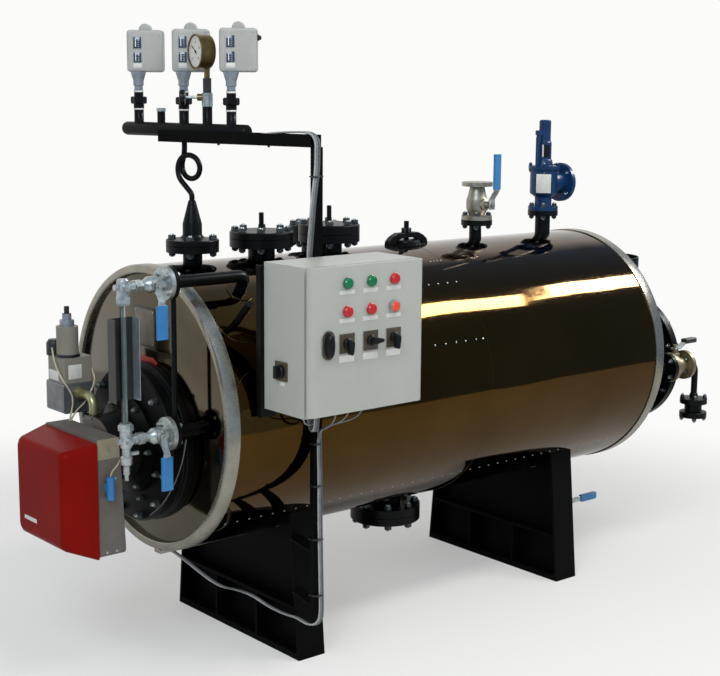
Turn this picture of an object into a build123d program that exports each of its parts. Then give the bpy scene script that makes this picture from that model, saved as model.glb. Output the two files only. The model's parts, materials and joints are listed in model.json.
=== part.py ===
from build123d import *
import math
import os

os.makedirs("parts", exist_ok=True)

# Horizontal shell, axis along X, millimetres, floor at z = 0
shell_r = 500.0
shell_wall = 60.0
shell_len = 2217.0
shell_z = 903.0
shell_front = -431.0
shell_rear = shell_front + shell_len
shell_mid = shell_front + shell_len / 2
shell_top = shell_z + shell_r
ring_len = 30.0
ring_proud = 4.0
ring_width = 30.0
ring_round = 9.0
plate_set = 14.0
fit = 0.3  # clearance left where curved faces meet
rosette_t = 3.5
rosette_r = 80.0

# Legs, each a bent-plate saddle with a web
leg_depth = 117.0
leg_pitch = shell_rear - 445.5
foot_half = 390.0
leg_lean = 5.3  # degrees, sides splay outwards towards the floor
leg_plate = 12.0
foot_t = 24.0
stiffener_z = 182.0
rib_y = 129.0

# Burner door and burner
door_z = shell_z - 113.0
door_r = 278.0
door_t = 84.0
burner_flange_r = 172.0
burner_flange_t = 14.0
neck_r = 108.0
body_x = shell_front - 215.0
body_t = 85.0
body_half = 178.0
body_z0 = door_z - 328.0
body_z1 = door_z + 78.0
cover_t = 121.0
cover_half = 187.0
cover_z0 = body_z0 - 3.0
cover_z1 = body_z1 - 9.0
cover_taper = 28.0
cover_drop = 24.0
cover_rise = 49.0
cover_round = 20.0
body_rake = 20.0  # the casing's rear face leans out by this much at its foot
inlet_x = body_x + 35.0
inlet_y = 50.0
inlet_z = body_z1 + 32.0
capacitor_r = 14.0
capacitor_z = body_z0 + 204.0
capacitor_len = 74.0
capacitor_x = body_x - 46.0

# Gas valve train
gas_y0 = 148.0
gas_y1 = gas_y0 + 126.0
gas_w = 118.0
gas_z0 = inlet_z - 12.0
gas_z1 = gas_z0 + 105.0
gas_pipe_r = 16.0
actuator_w = 112.0
actuator_h = 90.0
actuator_y0 = gas_y0 + 2.0
actuator_y1 = gas_y1 - 8.0
cap_r = 28.0
coil_r = 38.0
coil_h = 107.0

# Water gauge in the plane y = gauge_y
gauge_y = -300.0
gauge_x = shell_front - 260.0
gauge_top_z = shell_top - 18.0
gauge_low_z = shell_z - 17.0
gauge_face_x = shell_front - 96.0
gauge_pipe_r = 21.0
gauge_tap_x = -216.0
gauge_flange_r = 56.0
gauge_flange_t = 15.0
head_r = 20.0
glass_r = 8.0
gland_len = 24.0
head_drop = 33.0
lever_y = gauge_y - 45.0
upper_lever_x = gauge_face_x - 59.0
lower_lever_x = gauge_face_x - 49.0
lever_len = 172.0
sleeve_len = 110.0
lever_crank = 16.0
sleeve_w = 33.0
protector_w = 92.0
protector_z0 = gauge_low_z + 129.0
protector_z1 = gauge_top_z - 100.0
impulse_x = gauge_face_x + 23.0
impulse_r = 9.0

# Nozzles along the top: place, neck and flange
steam_x = -231.0
steam_neck_r = 34.0
steam_flange_r = 93.0
steam_face = shell_top + 59.0
probe_a_x = 67.0
probe_a_r = 116.0
probe_b_x = 382.0
probe_b_r = 116.0
probe_c_x = 466.0
probe_c_y = 200.0
probe_c_r = 99.0
probe_c_face = shell_top + 44.0
probe_neck_r = 49.0
probe_face = shell_top + 67.0
probe_flange_t = 30.0
stud_r = 9.0
safety_x = shell_rear - 232.0
row = safety_x - probe_b_x  # handhole and vent valve share this stretch
hatch_x = probe_b_x + row / 3
vent_x = probe_b_x + 0.663 * row
hatch_z = shell_top + 9.0
vent_face = shell_top + 77.0
vent_r = 64.0
safety_face = shell_top + 97.0
drain_x = 677.0
drain_r = 140.0
drain_face = shell_z - shell_r - 70.0
drain_neck_r = 62.0
drain_t = 33.0
flange_t = 22.0

# Instrument rig: manifold and arm in one vertical plane
rig_x = steam_x
rig_y = 30.0
rig_turn = -76.6
manifold_r = 24.15
manifold_z = shell_top + 459.0
manifold_s0 = -305.0
manifold_s1 = 285.0
stub_r = 17.0
stub_top = manifold_z + 69.0
switch_s = (-230.0, -10.0, 210.0)
plug_s = -120.0
cock_s = 100.0
arm_s0 = -109.0
arm_z0 = manifold_z - 42.0
arm_h = 40.0
arm_wall = 4.0
siphon_r = 9.5
loop_r = 42.0
loop_z = manifold_z - 127.0
switch_w = 128.0
switch_h = 147.0
switch_d = 70.0
switch_back = 29.0
switch_z = manifold_z + 198.0
switch_shift = 24.0
dial_r = 57.5
dial_t = 55.0
dial_z = manifold_z + 266.0
cock_z = manifold_z + 113.0
cock_foot = manifold_z + 82.0
spindle = 75.0
wheel_r = 26.0

# Cabinet and the post behind it
cab_x0 = -306.0
cab_w = 475.0
cab_d = 210.0
cab_z0 = 980.0
cab_h = 481.0
cab_back = -shell_r - 28.5
cab_wall = 4.0
door_plate = 20.0
door_gap = 12.0
door_round = 19.0
door_lift = 7.0  # the door ends this much above the case's foot
rim_in = 9.0  # sealing rim set in from the case walls
rim_t = 3.0
arm_s1 = (rig_y - cab_back) / math.sin(math.radians(-rig_turn))  # the arm ends over the post
post_x0 = rig_x + arm_s1 * math.cos(math.radians(rig_turn)) - 5.0
post_w = 36.0
post_t = 20.0
post_z0 = 236.0
rail_x = cab_x0 - 15.0
rail_w = 60.0
rail_t = 24.0
lamp_r = 19.0
lamp_z = (cab_z0 + 426.0, cab_z0 + 336.0)
lamp_x = (cab_x0 + 146.0, cab_x0 + 243.5, cab_x0 + 341.0)
knob_z = cab_z0 + 234.0
latch_x = cab_x0 + 69.0
latch_z = cab_z0 + 235.0
isolator_y = cab_back - 93.5
isolator_z = cab_z0 + 138.0

# Rear end: smoke box, flue, feed line; blowdown below
smoke_z = shell_z - 101.0
smoke_r = 255.0
smoke_end = shell_rear + 343.0
smoke_flange_r = smoke_r + 33.0
smoke_flange_t = 20.0
flue_x = shell_rear + 183.0
flue_r = 150.0
flue_wall = 6.0
flue_top = smoke_z + 472.0
feed_y = -smoke_flange_r - 62.0
feed_z = shell_z - 90.0
feed_face = shell_rear + 217.0
feed_valve_len = 120.0
feed_r = 24.0
feed_flange_r = 64.0
feed_drop_x = feed_face + feed_valve_len + 75.0
feed_low = feed_z - 247.0
feed_bend = 44.0
blow_x = shell_rear - 227.0
blow_y = -150.0
blow_z = 250.0
blow_lever_y = blow_y - 46.0

plate_front = shell_front + plate_set
plate_rear = shell_rear - plate_set


def turned(profile, at, along=(0, 0, 1)):
    # profile gives radius and height pairs from the foot of the axis
    side = Plane(origin=at, z_dir=along).x_dir
    plane = Plane(origin=at, x_dir=side, z_dir=side.cross(Vector(along)))
    points = [(0, profile[0][1])] + list(profile) + [(0, profile[-1][1])]
    with BuildPart() as body:
        with BuildSketch(plane):
            with BuildLine():
                Polyline(*points, close=True)
            make_face()
        revolve(axis=Axis(at, along))
    return body.part


def block(x0, x1, y0, y1, z0, z1, turn=Axis.Z, radius=0.0):
    with BuildPart() as body:
        with Locations(((x0 + x1) / 2, (y0 + y1) / 2, (z0 + z1) / 2)):
            Box(abs(x1 - x0), abs(y1 - y0), abs(z1 - z0))
        if radius > 0:
            fillet(body.edges().filter_by(turn), radius)
    return body.part


def hexagon(across, at, along, length):
    with BuildPart() as body:
        with BuildSketch(Plane(origin=at, z_dir=along)):
            RegularPolygon(across / 2, 6, major_radius=False)
        extrude(amount=length)
    return body.part


def pipe(points, radius, bend):
    with BuildPart() as body:
        with BuildLine():
            FilletPolyline(*points, radius=bend)
        with BuildSketch(Plane(origin=points[0], z_dir=Vector(points[1]) - Vector(points[0]))):
            Circle(radius)
        sweep()
    return body.part


def cable(name, points, diameter):
    # each bend is as wide as its two runs allow
    spots = [Vector(p) for p in points]
    bends = []
    for a, b, c in zip(spots, spots[1:], spots[2:]):
        turn = math.radians((b - a).get_angle(c - b))
        bends.append(0.45 * min((b - a).length, (c - b).length) / math.tan(turn / 2))
    print(name, "bend radii", [round(r) for r in bends])
    return pipe(points, diameter / 2, bends)


def off_shell(body, clear=0.0):
    with BuildPart() as cut:
        add(body)
        with Locations((shell_mid, 0, shell_z)):
            Cylinder(shell_r + fit + clear, 2 * shell_len, rotation=(0, 90, 0), mode=Mode.SUBTRACT)
    return cut.part


def joined(*bodies):
    with BuildPart() as whole:
        for body in bodies:
            add(body)
    return whole.part


def nozzle(x, y, neck, flange, thick, face):
    profile = [(neck, shell_z), (neck, face - thick), (flange, face - thick), (flange, face)]
    return off_shell(turned(profile, (x, y, 0)))


def rig(s, t, z):
    # place on the rig: s along the manifold, t away from the viewer's side
    a = math.radians(rig_turn)
    return (rig_x + s * math.cos(a) - t * math.sin(a), rig_y + s * math.sin(a) + t * math.cos(a), z)


def rig_box(s0, s1, half, z0, z1):
    with BuildPart() as body:
        with Locations(Location(rig((s0 + s1) / 2, 0, (z0 + z1) / 2), (0, 0, rig_turn))):
            Box(s1 - s0, 2 * half, z1 - z0)
    return body.part


rig_dir = Vector(rig(1, 0, 0)) - Vector(rig(0, 0, 0))
pieces = {}

# shell and its two ends
with BuildPart() as jacket:
    with BuildSketch(Plane(origin=(shell_front + ring_len, 0, shell_z), z_dir=(1, 0, 0))):
        Circle(shell_r)
        Circle(shell_r - shell_wall, mode=Mode.SUBTRACT)
    extrude(amount=shell_len - 2 * ring_len)
pieces["jacket"] = jacket.part

plate_r = shell_r + ring_proud - ring_width
for name, rim_x, into in (("front", shell_front, 1), ("rear", shell_rear, -1)):
    with BuildPart() as ring:
        with BuildSketch(Plane(origin=(rim_x, 0, shell_z), z_dir=(into, 0, 0))):
            Circle(shell_r + ring_proud)
            Circle(plate_r, mode=Mode.SUBTRACT)
        extrude(amount=ring_len)
        fillet(ring.edges().filter_by(GeomType.CIRCLE).group_by(Axis.X)[0 if into > 0 else -1], ring_round)
    pieces[name + "_ring"] = ring.part
    with BuildPart() as plate:
        with BuildSketch(Plane(origin=(rim_x + into * plate_set, 0, shell_z), z_dir=(into, 0, 0))):
            Circle(plate_r)
        extrude(amount=ring_len - plate_set)
    pieces[name + "_plate"] = plate.part

# legs
splay = math.tan(math.radians(leg_lean))
leg_top = shell_z - 0.5 * shell_r


def leg_outline(x, inset, deep, floor):
    with BuildPart() as body:
        with BuildSketch(Plane(origin=(x, 0, 0), x_dir=(0, 1, 0), z_dir=(1, 0, 0))):
            low = foot_half - inset - floor * splay
            high = foot_half - inset - leg_top * splay
            with BuildLine():
                Polyline((-low, floor), (low, floor), (high, leg_top), (-high, leg_top), close=True)
            make_face()
        extrude(amount=deep / 2, both=True)
    return body.part


for name, x in (("front_leg", 0.0), ("rear_leg", leg_pitch)):
    pocket = (leg_depth - leg_plate) / 2
    with BuildPart() as leg:
        add(leg_outline(x, 0, leg_depth, 0))
        for side in (-1, 1):
            with Locations((side * (leg_plate + pocket) / 2, 0, 0)):
                add(leg_outline(x, leg_plate, pocket, foot_t), mode=Mode.SUBTRACT)
            span = 2 * (foot_half - stiffener_z * splay) - leg_plate
            with Locations((x + side * (leg_plate + pocket) / 2, 0, stiffener_z + leg_plate / 2)):
                Box(pocket, span, leg_plate)
            for y in (-rib_y, rib_y):
                with Locations((x + side * (leg_plate + pocket) / 2, y, (foot_t + stiffener_z) / 2)):
                    Box(pocket, leg_plate, stiffener_z - foot_t)
    pieces[name] = off_shell(leg.part)

# burner door on the front plate
door_face = plate_front - door_t
pieces["burner_door"] = turned(
    [(door_r, 0), (door_r, 26), (door_r - 14, 32), (door_r - 14, door_t - 22), (door_r - 4, door_t - 18),
     (door_r - 4, door_t - 6), (door_r - 10, door_t)],
    (plate_front, 0, door_z), (-1, 0, 0))

# burner: casing, cover, capacitor
flange_x = door_face - burner_flange_t
with BuildPart() as burner_body:
    body_mid = (body_z0 + body_z1) / 2
    rake = body_rake / (body_z1 - body_z0)
    back_x = body_x + (body_z1 - body_mid) * rake
    for origin, normal in (((body_x - body_t, 0, body_mid), (1, 0, 0)), ((back_x, 0, body_mid), (1, 0, rake))):
        with BuildSketch(Plane(origin=origin, x_dir=(0, 1, 0), z_dir=normal)):
            RectangleRounded(2 * body_half, body_z1 - body_z0, 22)
    loft(ruled=True)
    add(turned([(burner_flange_r, 0), (burner_flange_r, burner_flange_t), (neck_r + 14, burner_flange_t + 12),
                (neck_r, flange_x - body_x)], (door_face, 0, door_z), (-1, 0, 0)))
    add(turned([(gas_pipe_r + 20, door_z), (gas_pipe_r + 20, inlet_z - 12), (gas_pipe_r + 14, inlet_z - 6),
                (gas_pipe_r + 14, inlet_z)], (inlet_x, inlet_y, 0)))
pieces["burner_body"] = burner_body.part

cover_back = body_x - body_t
with BuildPart() as burner_cover:
    for reach, inset in ((0, 0), (cover_t - cover_round, 0), (cover_t - cover_round / 2, 0.14 * cover_round),
                         (cover_t - cover_round / 5, 0.4 * cover_round), (cover_t, 0.9 * cover_round)):
        part_way = reach / cover_t
        half = cover_half - cover_taper * part_way - inset
        z0 = cover_z0 + cover_rise * part_way + inset
        z1 = cover_z1 - cover_drop * part_way - inset
        centre = (cover_back - reach, 0, (z0 + z1) / 2)
        with BuildSketch(Plane(origin=centre, x_dir=(0, 1, 0), z_dir=(1, 0, 0))):
            RectangleRounded(2 * half, z1 - z0, 14 + 12 * part_way)
    loft(ruled=True)
pieces["burner_cover"] = burner_cover.part

pieces["burner_capacitor"] = joined(
    turned([(capacitor_r, 0), (capacitor_r, capacitor_len), (capacitor_r - 4, capacitor_len + 4)],
           (capacitor_x, -body_half - capacitor_r - 6, capacitor_z)),
    block(capacitor_x - 12, capacitor_x + 12, -body_half - 8, -body_half, capacitor_z + 20,
          capacitor_z + capacitor_len - 20))

# gas valve train and its elbow
gas_x = inlet_x
gas_mid = (gas_z0 + gas_z1) / 2
pieces["gas_block"] = joined(
    block(gas_x - gas_w / 2, gas_x + gas_w / 2, gas_y0, gas_y1, gas_z0, gas_z1, Axis.Y, 8),
    turned([(44, 0), (44, 18), (30, 18), (30, 34)], (gas_x, gas_y1, gas_mid), (0, 1, 0)))
coil_y = actuator_y0 + coil_r + 2
pieces["gas_actuator"] = joined(
    block(gas_x - actuator_w / 2, gas_x + actuator_w / 2, actuator_y0, actuator_y1, gas_z1, gas_z1 + actuator_h,
          Axis.Z, 8),
    turned([(cap_r, 0), (cap_r, 42), (cap_r - 8, 54)],
           (gas_x - actuator_w / 2 + cap_r - 8, actuator_y1 - cap_r + 12, gas_z1 + actuator_h)),
    turned([(coil_r + 4, 0), (coil_r + 4, 10), (coil_r, 10), (coil_r, coil_h), (25, coil_h), (25, coil_h + 22),
            (16, coil_h + 22), (16, coil_h + 44), (9, coil_h + 44), (9, coil_h + 69)],
           (gas_x - 17, coil_y, gas_z1 + actuator_h)))
pieces["gas_elbow"] = joined(
    pipe([(gas_x, gas_y0, gas_mid + 18), (gas_x, inlet_y, gas_mid + 18), (gas_x, inlet_y, inlet_z)],
         gas_pipe_r, 34),
    turned([(gas_pipe_r + 6, 0), (gas_pipe_r + 6, 12)], (gas_x, gas_y0, gas_mid + 18), (0, -1, 0)))

# nozzles welded to the shell, each with its flange
foot = turned([(30, shell_z), (30, vent_face - flange_t), (vent_r, vent_face - flange_t), (vent_r, vent_face)],
              (vent_x, 0, 0))
stub_turn = math.radians(47)
stub_dir = (0, -math.sin(stub_turn), math.cos(stub_turn))
tap_turn = math.atan2(-gauge_y, gauge_top_z - shell_z)
tap_dir = (0, -math.sin(tap_turn), math.cos(tap_turn))
lug_x = -299.0
with BuildPart() as shell_nozzles:
    add(nozzle(steam_x, 0, steam_neck_r, steam_flange_r, flange_t, steam_face))
    add(nozzle(probe_a_x, 0, probe_neck_r, probe_a_r, probe_flange_t, probe_face))
    add(nozzle(probe_b_x, 0, probe_neck_r, probe_b_r, probe_flange_t, probe_face))
    add(nozzle(probe_c_x, probe_c_y, probe_neck_r, probe_c_r, probe_flange_t, probe_c_face))
    add(off_shell(foot))
    add(nozzle(safety_x, 0, 32, vent_r, flange_t, safety_face))
    add(off_shell(turned([(drain_r, drain_face), (drain_r, drain_face + drain_t),
                          (drain_neck_r, drain_face + drain_t), (drain_neck_r, shell_z)], (drain_x, 0, 0))))
    add(off_shell(turned([(12.5, shell_r - 100), (12.5, shell_r + 100)], (lug_x, 0, shell_z), stub_dir)))
    add(off_shell(turned([(13, 0), (13, 40)], (-363.5, -10.2, 388.4), (-20, 10.5, 17))))
pieces["shell_nozzles"] = shell_nozzles.part

with BuildPart() as nozzle_covers:
    for x, y, r, face, thick, stud in ((probe_a_x, 0, probe_a_r, probe_face, 27, 66),
                                       (probe_b_x, 0, probe_b_r, probe_face, 36, 68),
                                       (probe_c_x, probe_c_y, probe_c_r, probe_c_face, 36, 60)):
        add(turned([(r, face), (r, face + thick - 5), (r - 4, face + thick), (stud_r + 8, face + thick),
                    (stud_r, face + thick + 12), (stud_r, face + thick + stud)], (x, y, 0)))
    add(turned([(drain_r - 4, drain_face - drain_t), (drain_r, drain_face - drain_t + 5), (drain_r, drain_face)],
               (drain_x, 0, 0)))
pieces["nozzle_covers"] = nozzle_covers.part

with BuildPart() as rosettes:
    for x, turn, r in ((lug_x, 47.0, rosette_r), (lug_x - 7, 77.0, rosette_r),
                       (gauge_tap_x, math.degrees(tap_turn), 48.0)):
        a = math.radians(turn)
        out = (0, -math.sin(a), math.cos(a))
        with BuildPart(mode=Mode.PRIVATE) as disc:
            with BuildSketch(Plane(origin=(x, 0, shell_z), z_dir=out)):
                Circle(r)
                if r == rosette_r and turn < 60:
                    Circle(12.5 + fit, mode=Mode.SUBTRACT)
                if r != rosette_r:
                    Circle(gauge_pipe_r + fit, mode=Mode.SUBTRACT)
            extrude(amount=2 * shell_r)
            with Locations((shell_mid, 0, shell_z)):
                Cylinder(shell_r + fit + rosette_t, 2 * shell_len, rotation=(0, 90, 0), mode=Mode.INTERSECT)
                Cylinder(shell_r + fit, 2 * shell_len, rotation=(0, 90, 0), mode=Mode.SUBTRACT)
        add(disc.part)
pieces["rosettes"] = rosettes.part

# steam nozzle's reducer and the siphon above it
cone_top = manifold_z - 242.0
pieces["steam_reducer"] = turned(
    [(steam_flange_r, steam_face), (steam_flange_r, steam_face + flange_t), (44, steam_face + flange_t + 4),
     (steam_neck_r, steam_face + flange_t + 16), (steam_neck_r, steam_face + 76), (siphon_r + 3, cone_top)],
    (steam_x, 0, 0))

loop_s = switch_s[1] + 25
loop_wide = 50.0
floor_z = arm_z0 + arm_wall
base_s = -rig_y / rig_dir.Y
with BuildPart() as siphon:
    start = (steam_x, 0, cone_top)
    turns = 8
    ring_points = []
    for k in range(1, turns):
        a = math.pi - 2 * math.pi * k / turns
        reach = loop_r * 1.05
        shift = -1.2 * siphon_r + 2.4 * siphon_r * k / turns
        ring_points.append(rig(loop_s + loop_wide * math.cos(a), shift, loop_z + reach * math.sin(a)))
    left_s = loop_s - loop_wide
    path = [start, (steam_x, 0, cone_top + 22), rig(left_s + 8, -1.2 * siphon_r, loop_z - 40)]
    path += [rig(left_s, -1.1 * siphon_r, loop_z - 2)] + ring_points
    path += [rig(left_s, 1.1 * siphon_r, loop_z + 2), rig(switch_s[1], 0, loop_z + 48),
             rig(switch_s[1], 0, manifold_z - manifold_r - 8)]
    spots = [Vector(p) for p in path]
    bends = []
    for a, b, c in zip(spots, spots[1:], spots[2:]):
        turn = math.radians((b - a).get_angle(c - b))
        bends.append(0.46 * min((b - a).length, (c - b).length) / math.tan(turn / 2))
    add(pipe(path, siphon_r, bends))
pieces["siphon"] = siphon.part

# manifold with its stubs
with BuildPart() as manifold:
    manifold_len = manifold_s1 - manifold_s0
    add(turned([(manifold_r * 0.5, 4), (manifold_r * 0.85, 8), (manifold_r, 18), (manifold_r, manifold_len - 6),
                (manifold_r - 4, manifold_len)], rig(manifold_s0, 0, manifold_z), rig_dir))
    for s in switch_s:
        add(turned([(stub_r, manifold_z), (stub_r, stub_top)], rig(s, 0, 0)))
    add(turned([(stub_r, manifold_z), (stub_r, cock_foot)], rig(cock_s, 0, 0)))
    plug_z = manifold_z + 62
    add(turned([(stub_r - 3, manifold_z), (stub_r - 3, plug_z), (stub_r - 1, plug_z + 2),
                (stub_r - 1, plug_z + 12)], rig(plug_s, 0, 0)))
    add(turned([(stub_r - 3, manifold_z - manifold_r - 8), (stub_r - 3, manifold_z)], rig(switch_s[1], 0, 0)))
pieces["manifold"] = manifold.part

# arm under the manifold, post down to the front leg
arm_half = manifold_r + 2 + arm_wall
post_front = cab_back
with BuildPart() as pipe_post:
    add(rig_box(arm_s0, arm_s1, arm_half, arm_z0, arm_z0 + arm_h))
    add(rig_box(arm_s0 - 5, arm_s1 + 5, arm_half - arm_wall, floor_z, arm_z0 + arm_h + 5), mode=Mode.SUBTRACT)
    for s in (arm_s0 + 25, manifold_s1 - 40):
        add(rig_box(s, s + 30, arm_half - arm_wall, floor_z, manifold_z - 8))
    add(turned([(manifold_r + fit, arm_s0 - 10), (manifold_r + fit, arm_s1 + 10)], rig(0, 0, manifold_z),
               rig_dir), mode=Mode.SUBTRACT)
    add(turned([(stub_r + 2, arm_z0 - 5), (stub_r + 2, manifold_z)], rig(switch_s[1], 0, 0)), mode=Mode.SUBTRACT)
    add(block(post_x0, post_x0 + post_w, post_front, post_front + post_t, post_z0, arm_z0))
    bracket_in = 90 - foot_half
    for z in (post_z0 + 14, 440.0):
        with BuildSketch(Plane.XY.offset(z)):
            with BuildLine():
                Polyline((post_x0, post_front + post_t), (post_x0 + post_w, post_front + post_t), (0, bracket_in),
                         (-leg_depth / 2, bracket_in), close=True)
            make_face()
        extrude(amount=10)
    add(leg_outline(0.0, 0, leg_depth + 200, 0), mode=Mode.SUBTRACT)
pieces["pipe_post"] = pipe_post.part

# pressure switches on the manifold
view = math.radians(-39.9)
across = Vector(math.cos(view), math.sin(view), 0)
away = Vector(-across.Y, across.X, 0)
for number, s in enumerate(switch_s, 1):
    at = Vector(rig(s, 0, 0))
    with BuildPart() as switch:
        add(hexagon(52, (at.X, at.Y, stub_top), (0, 0, 1), 58))
        add(turned([(16, stub_top + 58), (16, stub_top + 69), (26, switch_z - 3), (26, switch_z)],
                   (at.X, at.Y, 0)))
        middle = at + across * switch_shift + away * switch_back
        with Locations(Location((middle.X, middle.Y, switch_z + switch_h / 2), (0, 0, -39.9))):
            Box(switch_w, switch_d, switch_h)
        fillet(switch.edges().filter_by(Axis.Z).group_by(SortBy.LENGTH)[-1], 6)
        crown = at + away * (switch_back - 0.3 * switch_d)
        add(turned([(22, 0), (22, 0.6 * switch_d)], (crown.X, crown.Y, switch_z + switch_h), away))
    pieces[f"pressure_switch_{number}"] = switch.part

# gauge cock, its handwheel, and the dial gauge
cock = Vector(rig(cock_s, 0, 0))
with BuildPart() as gauge_cock:
    add(turned([(19, cock_foot), (19, cock_foot + 46)], (cock.X, cock.Y, 0)))
    add(hexagon(28, (cock.X, cock.Y, cock_foot + 46), (0, 0, 1), 50))
    add(turned([(12, 0), (12, 34), (5, 34), (5, spindle)], (cock.X, cock.Y, cock_z), (-across)))
pieces["gauge_cock"] = gauge_cock.part
wheel_at = cock - across * (spindle + fit)
pieces["gauge_wheel"] = turned([(wheel_r - 1, 0), (wheel_r, 4), (wheel_r, 15), (wheel_r - 5, 19)],
                               (wheel_at.X, wheel_at.Y, cock_z), (-across))
dial_dir = Vector(-0.987, 0.154, 0).normalized()
dial_back = cock - dial_dir * 9
with BuildPart() as pressure_gauge:
    add(turned([(dial_r - 3, 0), (dial_r, 4), (dial_r, dial_t - 8), (dial_r + 2, dial_t - 8),
                (dial_r + 2, dial_t)], (dial_back.X, dial_back.Y, dial_z), dial_dir))
    add(hexagon(17, (cock.X, cock.Y, cock_foot + 96), (0, 0, 1), 40))
pieces["pressure_gauge"] = pressure_gauge.part

# handhole: oval frame with its dished cover, and the yoke across it
dish_top = hatch_z + 9
with BuildPart() as hatch:
    with BuildSketch(Plane.XY.offset(shell_z)):
        with Locations((hatch_x, 0)):
            Ellipse(112, 88)
    extrude(amount=hatch_z - shell_z)
    with BuildSketch(Plane.XY.offset(hatch_z - 4)):
        with Locations((hatch_x, 0)):
            Ellipse(56, 60)
    extrude(amount=dish_top - hatch_z + 4, taper=20)
pieces["handhole_cover"] = off_shell(hatch.part)

yoke_half = 81.5
yoke_top = hatch_z + 37.0
with BuildPart() as yoke:
    with BuildSketch(Plane(origin=(hatch_x, 14, 0), x_dir=(1, 0, 0), z_dir=(0, -1, 0))):
        with BuildLine():
            Polyline((-yoke_half, hatch_z), (-yoke_half, hatch_z + 14), (-46, yoke_top), (46, yoke_top),
                     (yoke_half, hatch_z + 14), (yoke_half, hatch_z), (yoke_half - 20, hatch_z),
                     (yoke_half - 22, hatch_z + 6), (34, yoke_top - 20), (-34, yoke_top - 20),
                     (22 - yoke_half, hatch_z + 6), (20 - yoke_half, hatch_z), close=True)
        make_face()
    extrude(amount=28)
    add(hexagon(36, (hatch_x, 0, yoke_top), (0, 0, 1), 18))
    add(turned([(10, dish_top + 0.2), (10, yoke_top + 45)], (hatch_x, 0, 0)))
pieces["handhole_yoke"] = yoke.part

# vent ball valve
stem_z = vent_face + 64.0
vent_top = vent_face + 154.0
vent_reach = 84.0
with BuildPart() as vent_valve:
    add(turned([(vent_r - 1, vent_face), (vent_r - 1, vent_face + 17), (32, vent_face + 19), (38, stem_z - 34),
                (44, stem_z - 18), (44, stem_z + 18), (38, stem_z + 34), (30, vent_top - 20),
                (vent_r - 1, vent_top - 17), (vent_r - 1, vent_top)], (vent_x, 0, 0)))
    add(turned([(24, 0), (24, 52), (15, 56), (15, vent_reach - 8), (9, vent_reach - 8), (9, vent_reach + 12)],
               (vent_x, 0, stem_z), (0, -1, 0)))
    with Locations((vent_x, 0, vent_top)):
        with PolarLocations(48, 4, start_angle=45):
            Cylinder(7, 60, mode=Mode.SUBTRACT)
    add(turned([(44, stem_z - 18), (44, stem_z + 18)], (vent_x, 0, 0)))
pieces["vent_valve"] = vent_valve.part


def bent_lever(x, outline, width, sleeve, sleeve_width):
    # outline in the Y-Z plane, sleeve given by its corners
    with BuildPart() as body:
        with BuildSketch(Plane(origin=(x, 0, 0), x_dir=(0, 1, 0), z_dir=(1, 0, 0))):
            with BuildLine():
                Polyline(*outline, close=True)
            make_face()
        extrude(amount=width / 2, both=True)
        add(block(x - sleeve_width / 2, x + sleeve_width / 2, *sleeve, turn=Axis.Z, radius=4))
    return body.part


hub_y = -vent_reach
with BuildPart() as vent_lever:
    add(bent_lever(vent_x, [(hub_y, stem_z - 18), (hub_y, stem_z + 26), (hub_y - 26, stem_z + 62),
                            (hub_y - 26, stem_z + 120), (hub_y - 31, stem_z + 120), (hub_y - 31, stem_z + 61),
                            (hub_y - 5, stem_z + 24), (hub_y - 5, stem_z - 18)], 30,
                   (hub_y - 35, hub_y - 22, stem_z + 65, stem_z + 207), 36))
    with Locations((vent_x, hub_y, stem_z)):
        Cylinder(9 + fit, 40, rotation=(90, 0, 0), mode=Mode.SUBTRACT)
pieces["vent_lever"] = vent_lever.part

# safety valve with its outlet, bonnet and lifting lever
outlet_z = safety_face + 116.0
outlet_x = safety_x + 112
bonnet_z = outlet_z + 73.0
cap_top = safety_face + 382.0
pivot_x = safety_x - 39
pivot_z = safety_face + 328.0
with BuildPart() as safety_valve:
    add(turned([(vent_r - 0.5, safety_face), (vent_r - 0.5, safety_face + 17), (36, safety_face + 20),
                (36, outlet_z - 60), (58, outlet_z - 44), (58, outlet_z + 56), (66, outlet_z + 58), (66, bonnet_z),
                (38, bonnet_z + 1), (34, bonnet_z + 23), (29.5, bonnet_z + 29), (29.5, bonnet_z + 97),
                (27, bonnet_z + 101), (25, bonnet_z + 107), (25, cap_top - 6), (20, cap_top)], (safety_x, 0, 0)))
    add(turned([(48, 0), (48, 92), (82.5, 94), (82.5, 112)], (safety_x, 0, outlet_z), (1, 0, 0)))
    with Locations(Location((outlet_x, 0, outlet_z), (0, 90, 0))):
        with PolarLocations(62.5, 4, start_angle=45):
            Cylinder(9, 50, mode=Mode.SUBTRACT)
        Cylinder(27, 8, mode=Mode.SUBTRACT)
    for y in (-10, 10):
        add(block(pivot_x - 6, safety_x - 15, y - 3, y + 3, pivot_z - 10, pivot_z + 10))
pieces["safety_valve"] = safety_valve.part
with BuildPart() as lift_lever:
    add(block(pivot_x - 7, pivot_x + 5, fit - 7, 7 - fit, pivot_z - 10, pivot_z + 10))
    add(block(pivot_x - 7, pivot_x - 1, -8.5, 8.5, bonnet_z + 2, pivot_z - 18))
    add(block(pivot_x - 7, pivot_x - 1, -6, 6, pivot_z - 18, pivot_z - 10))
pieces["lift_lever"] = lift_lever.part

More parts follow.
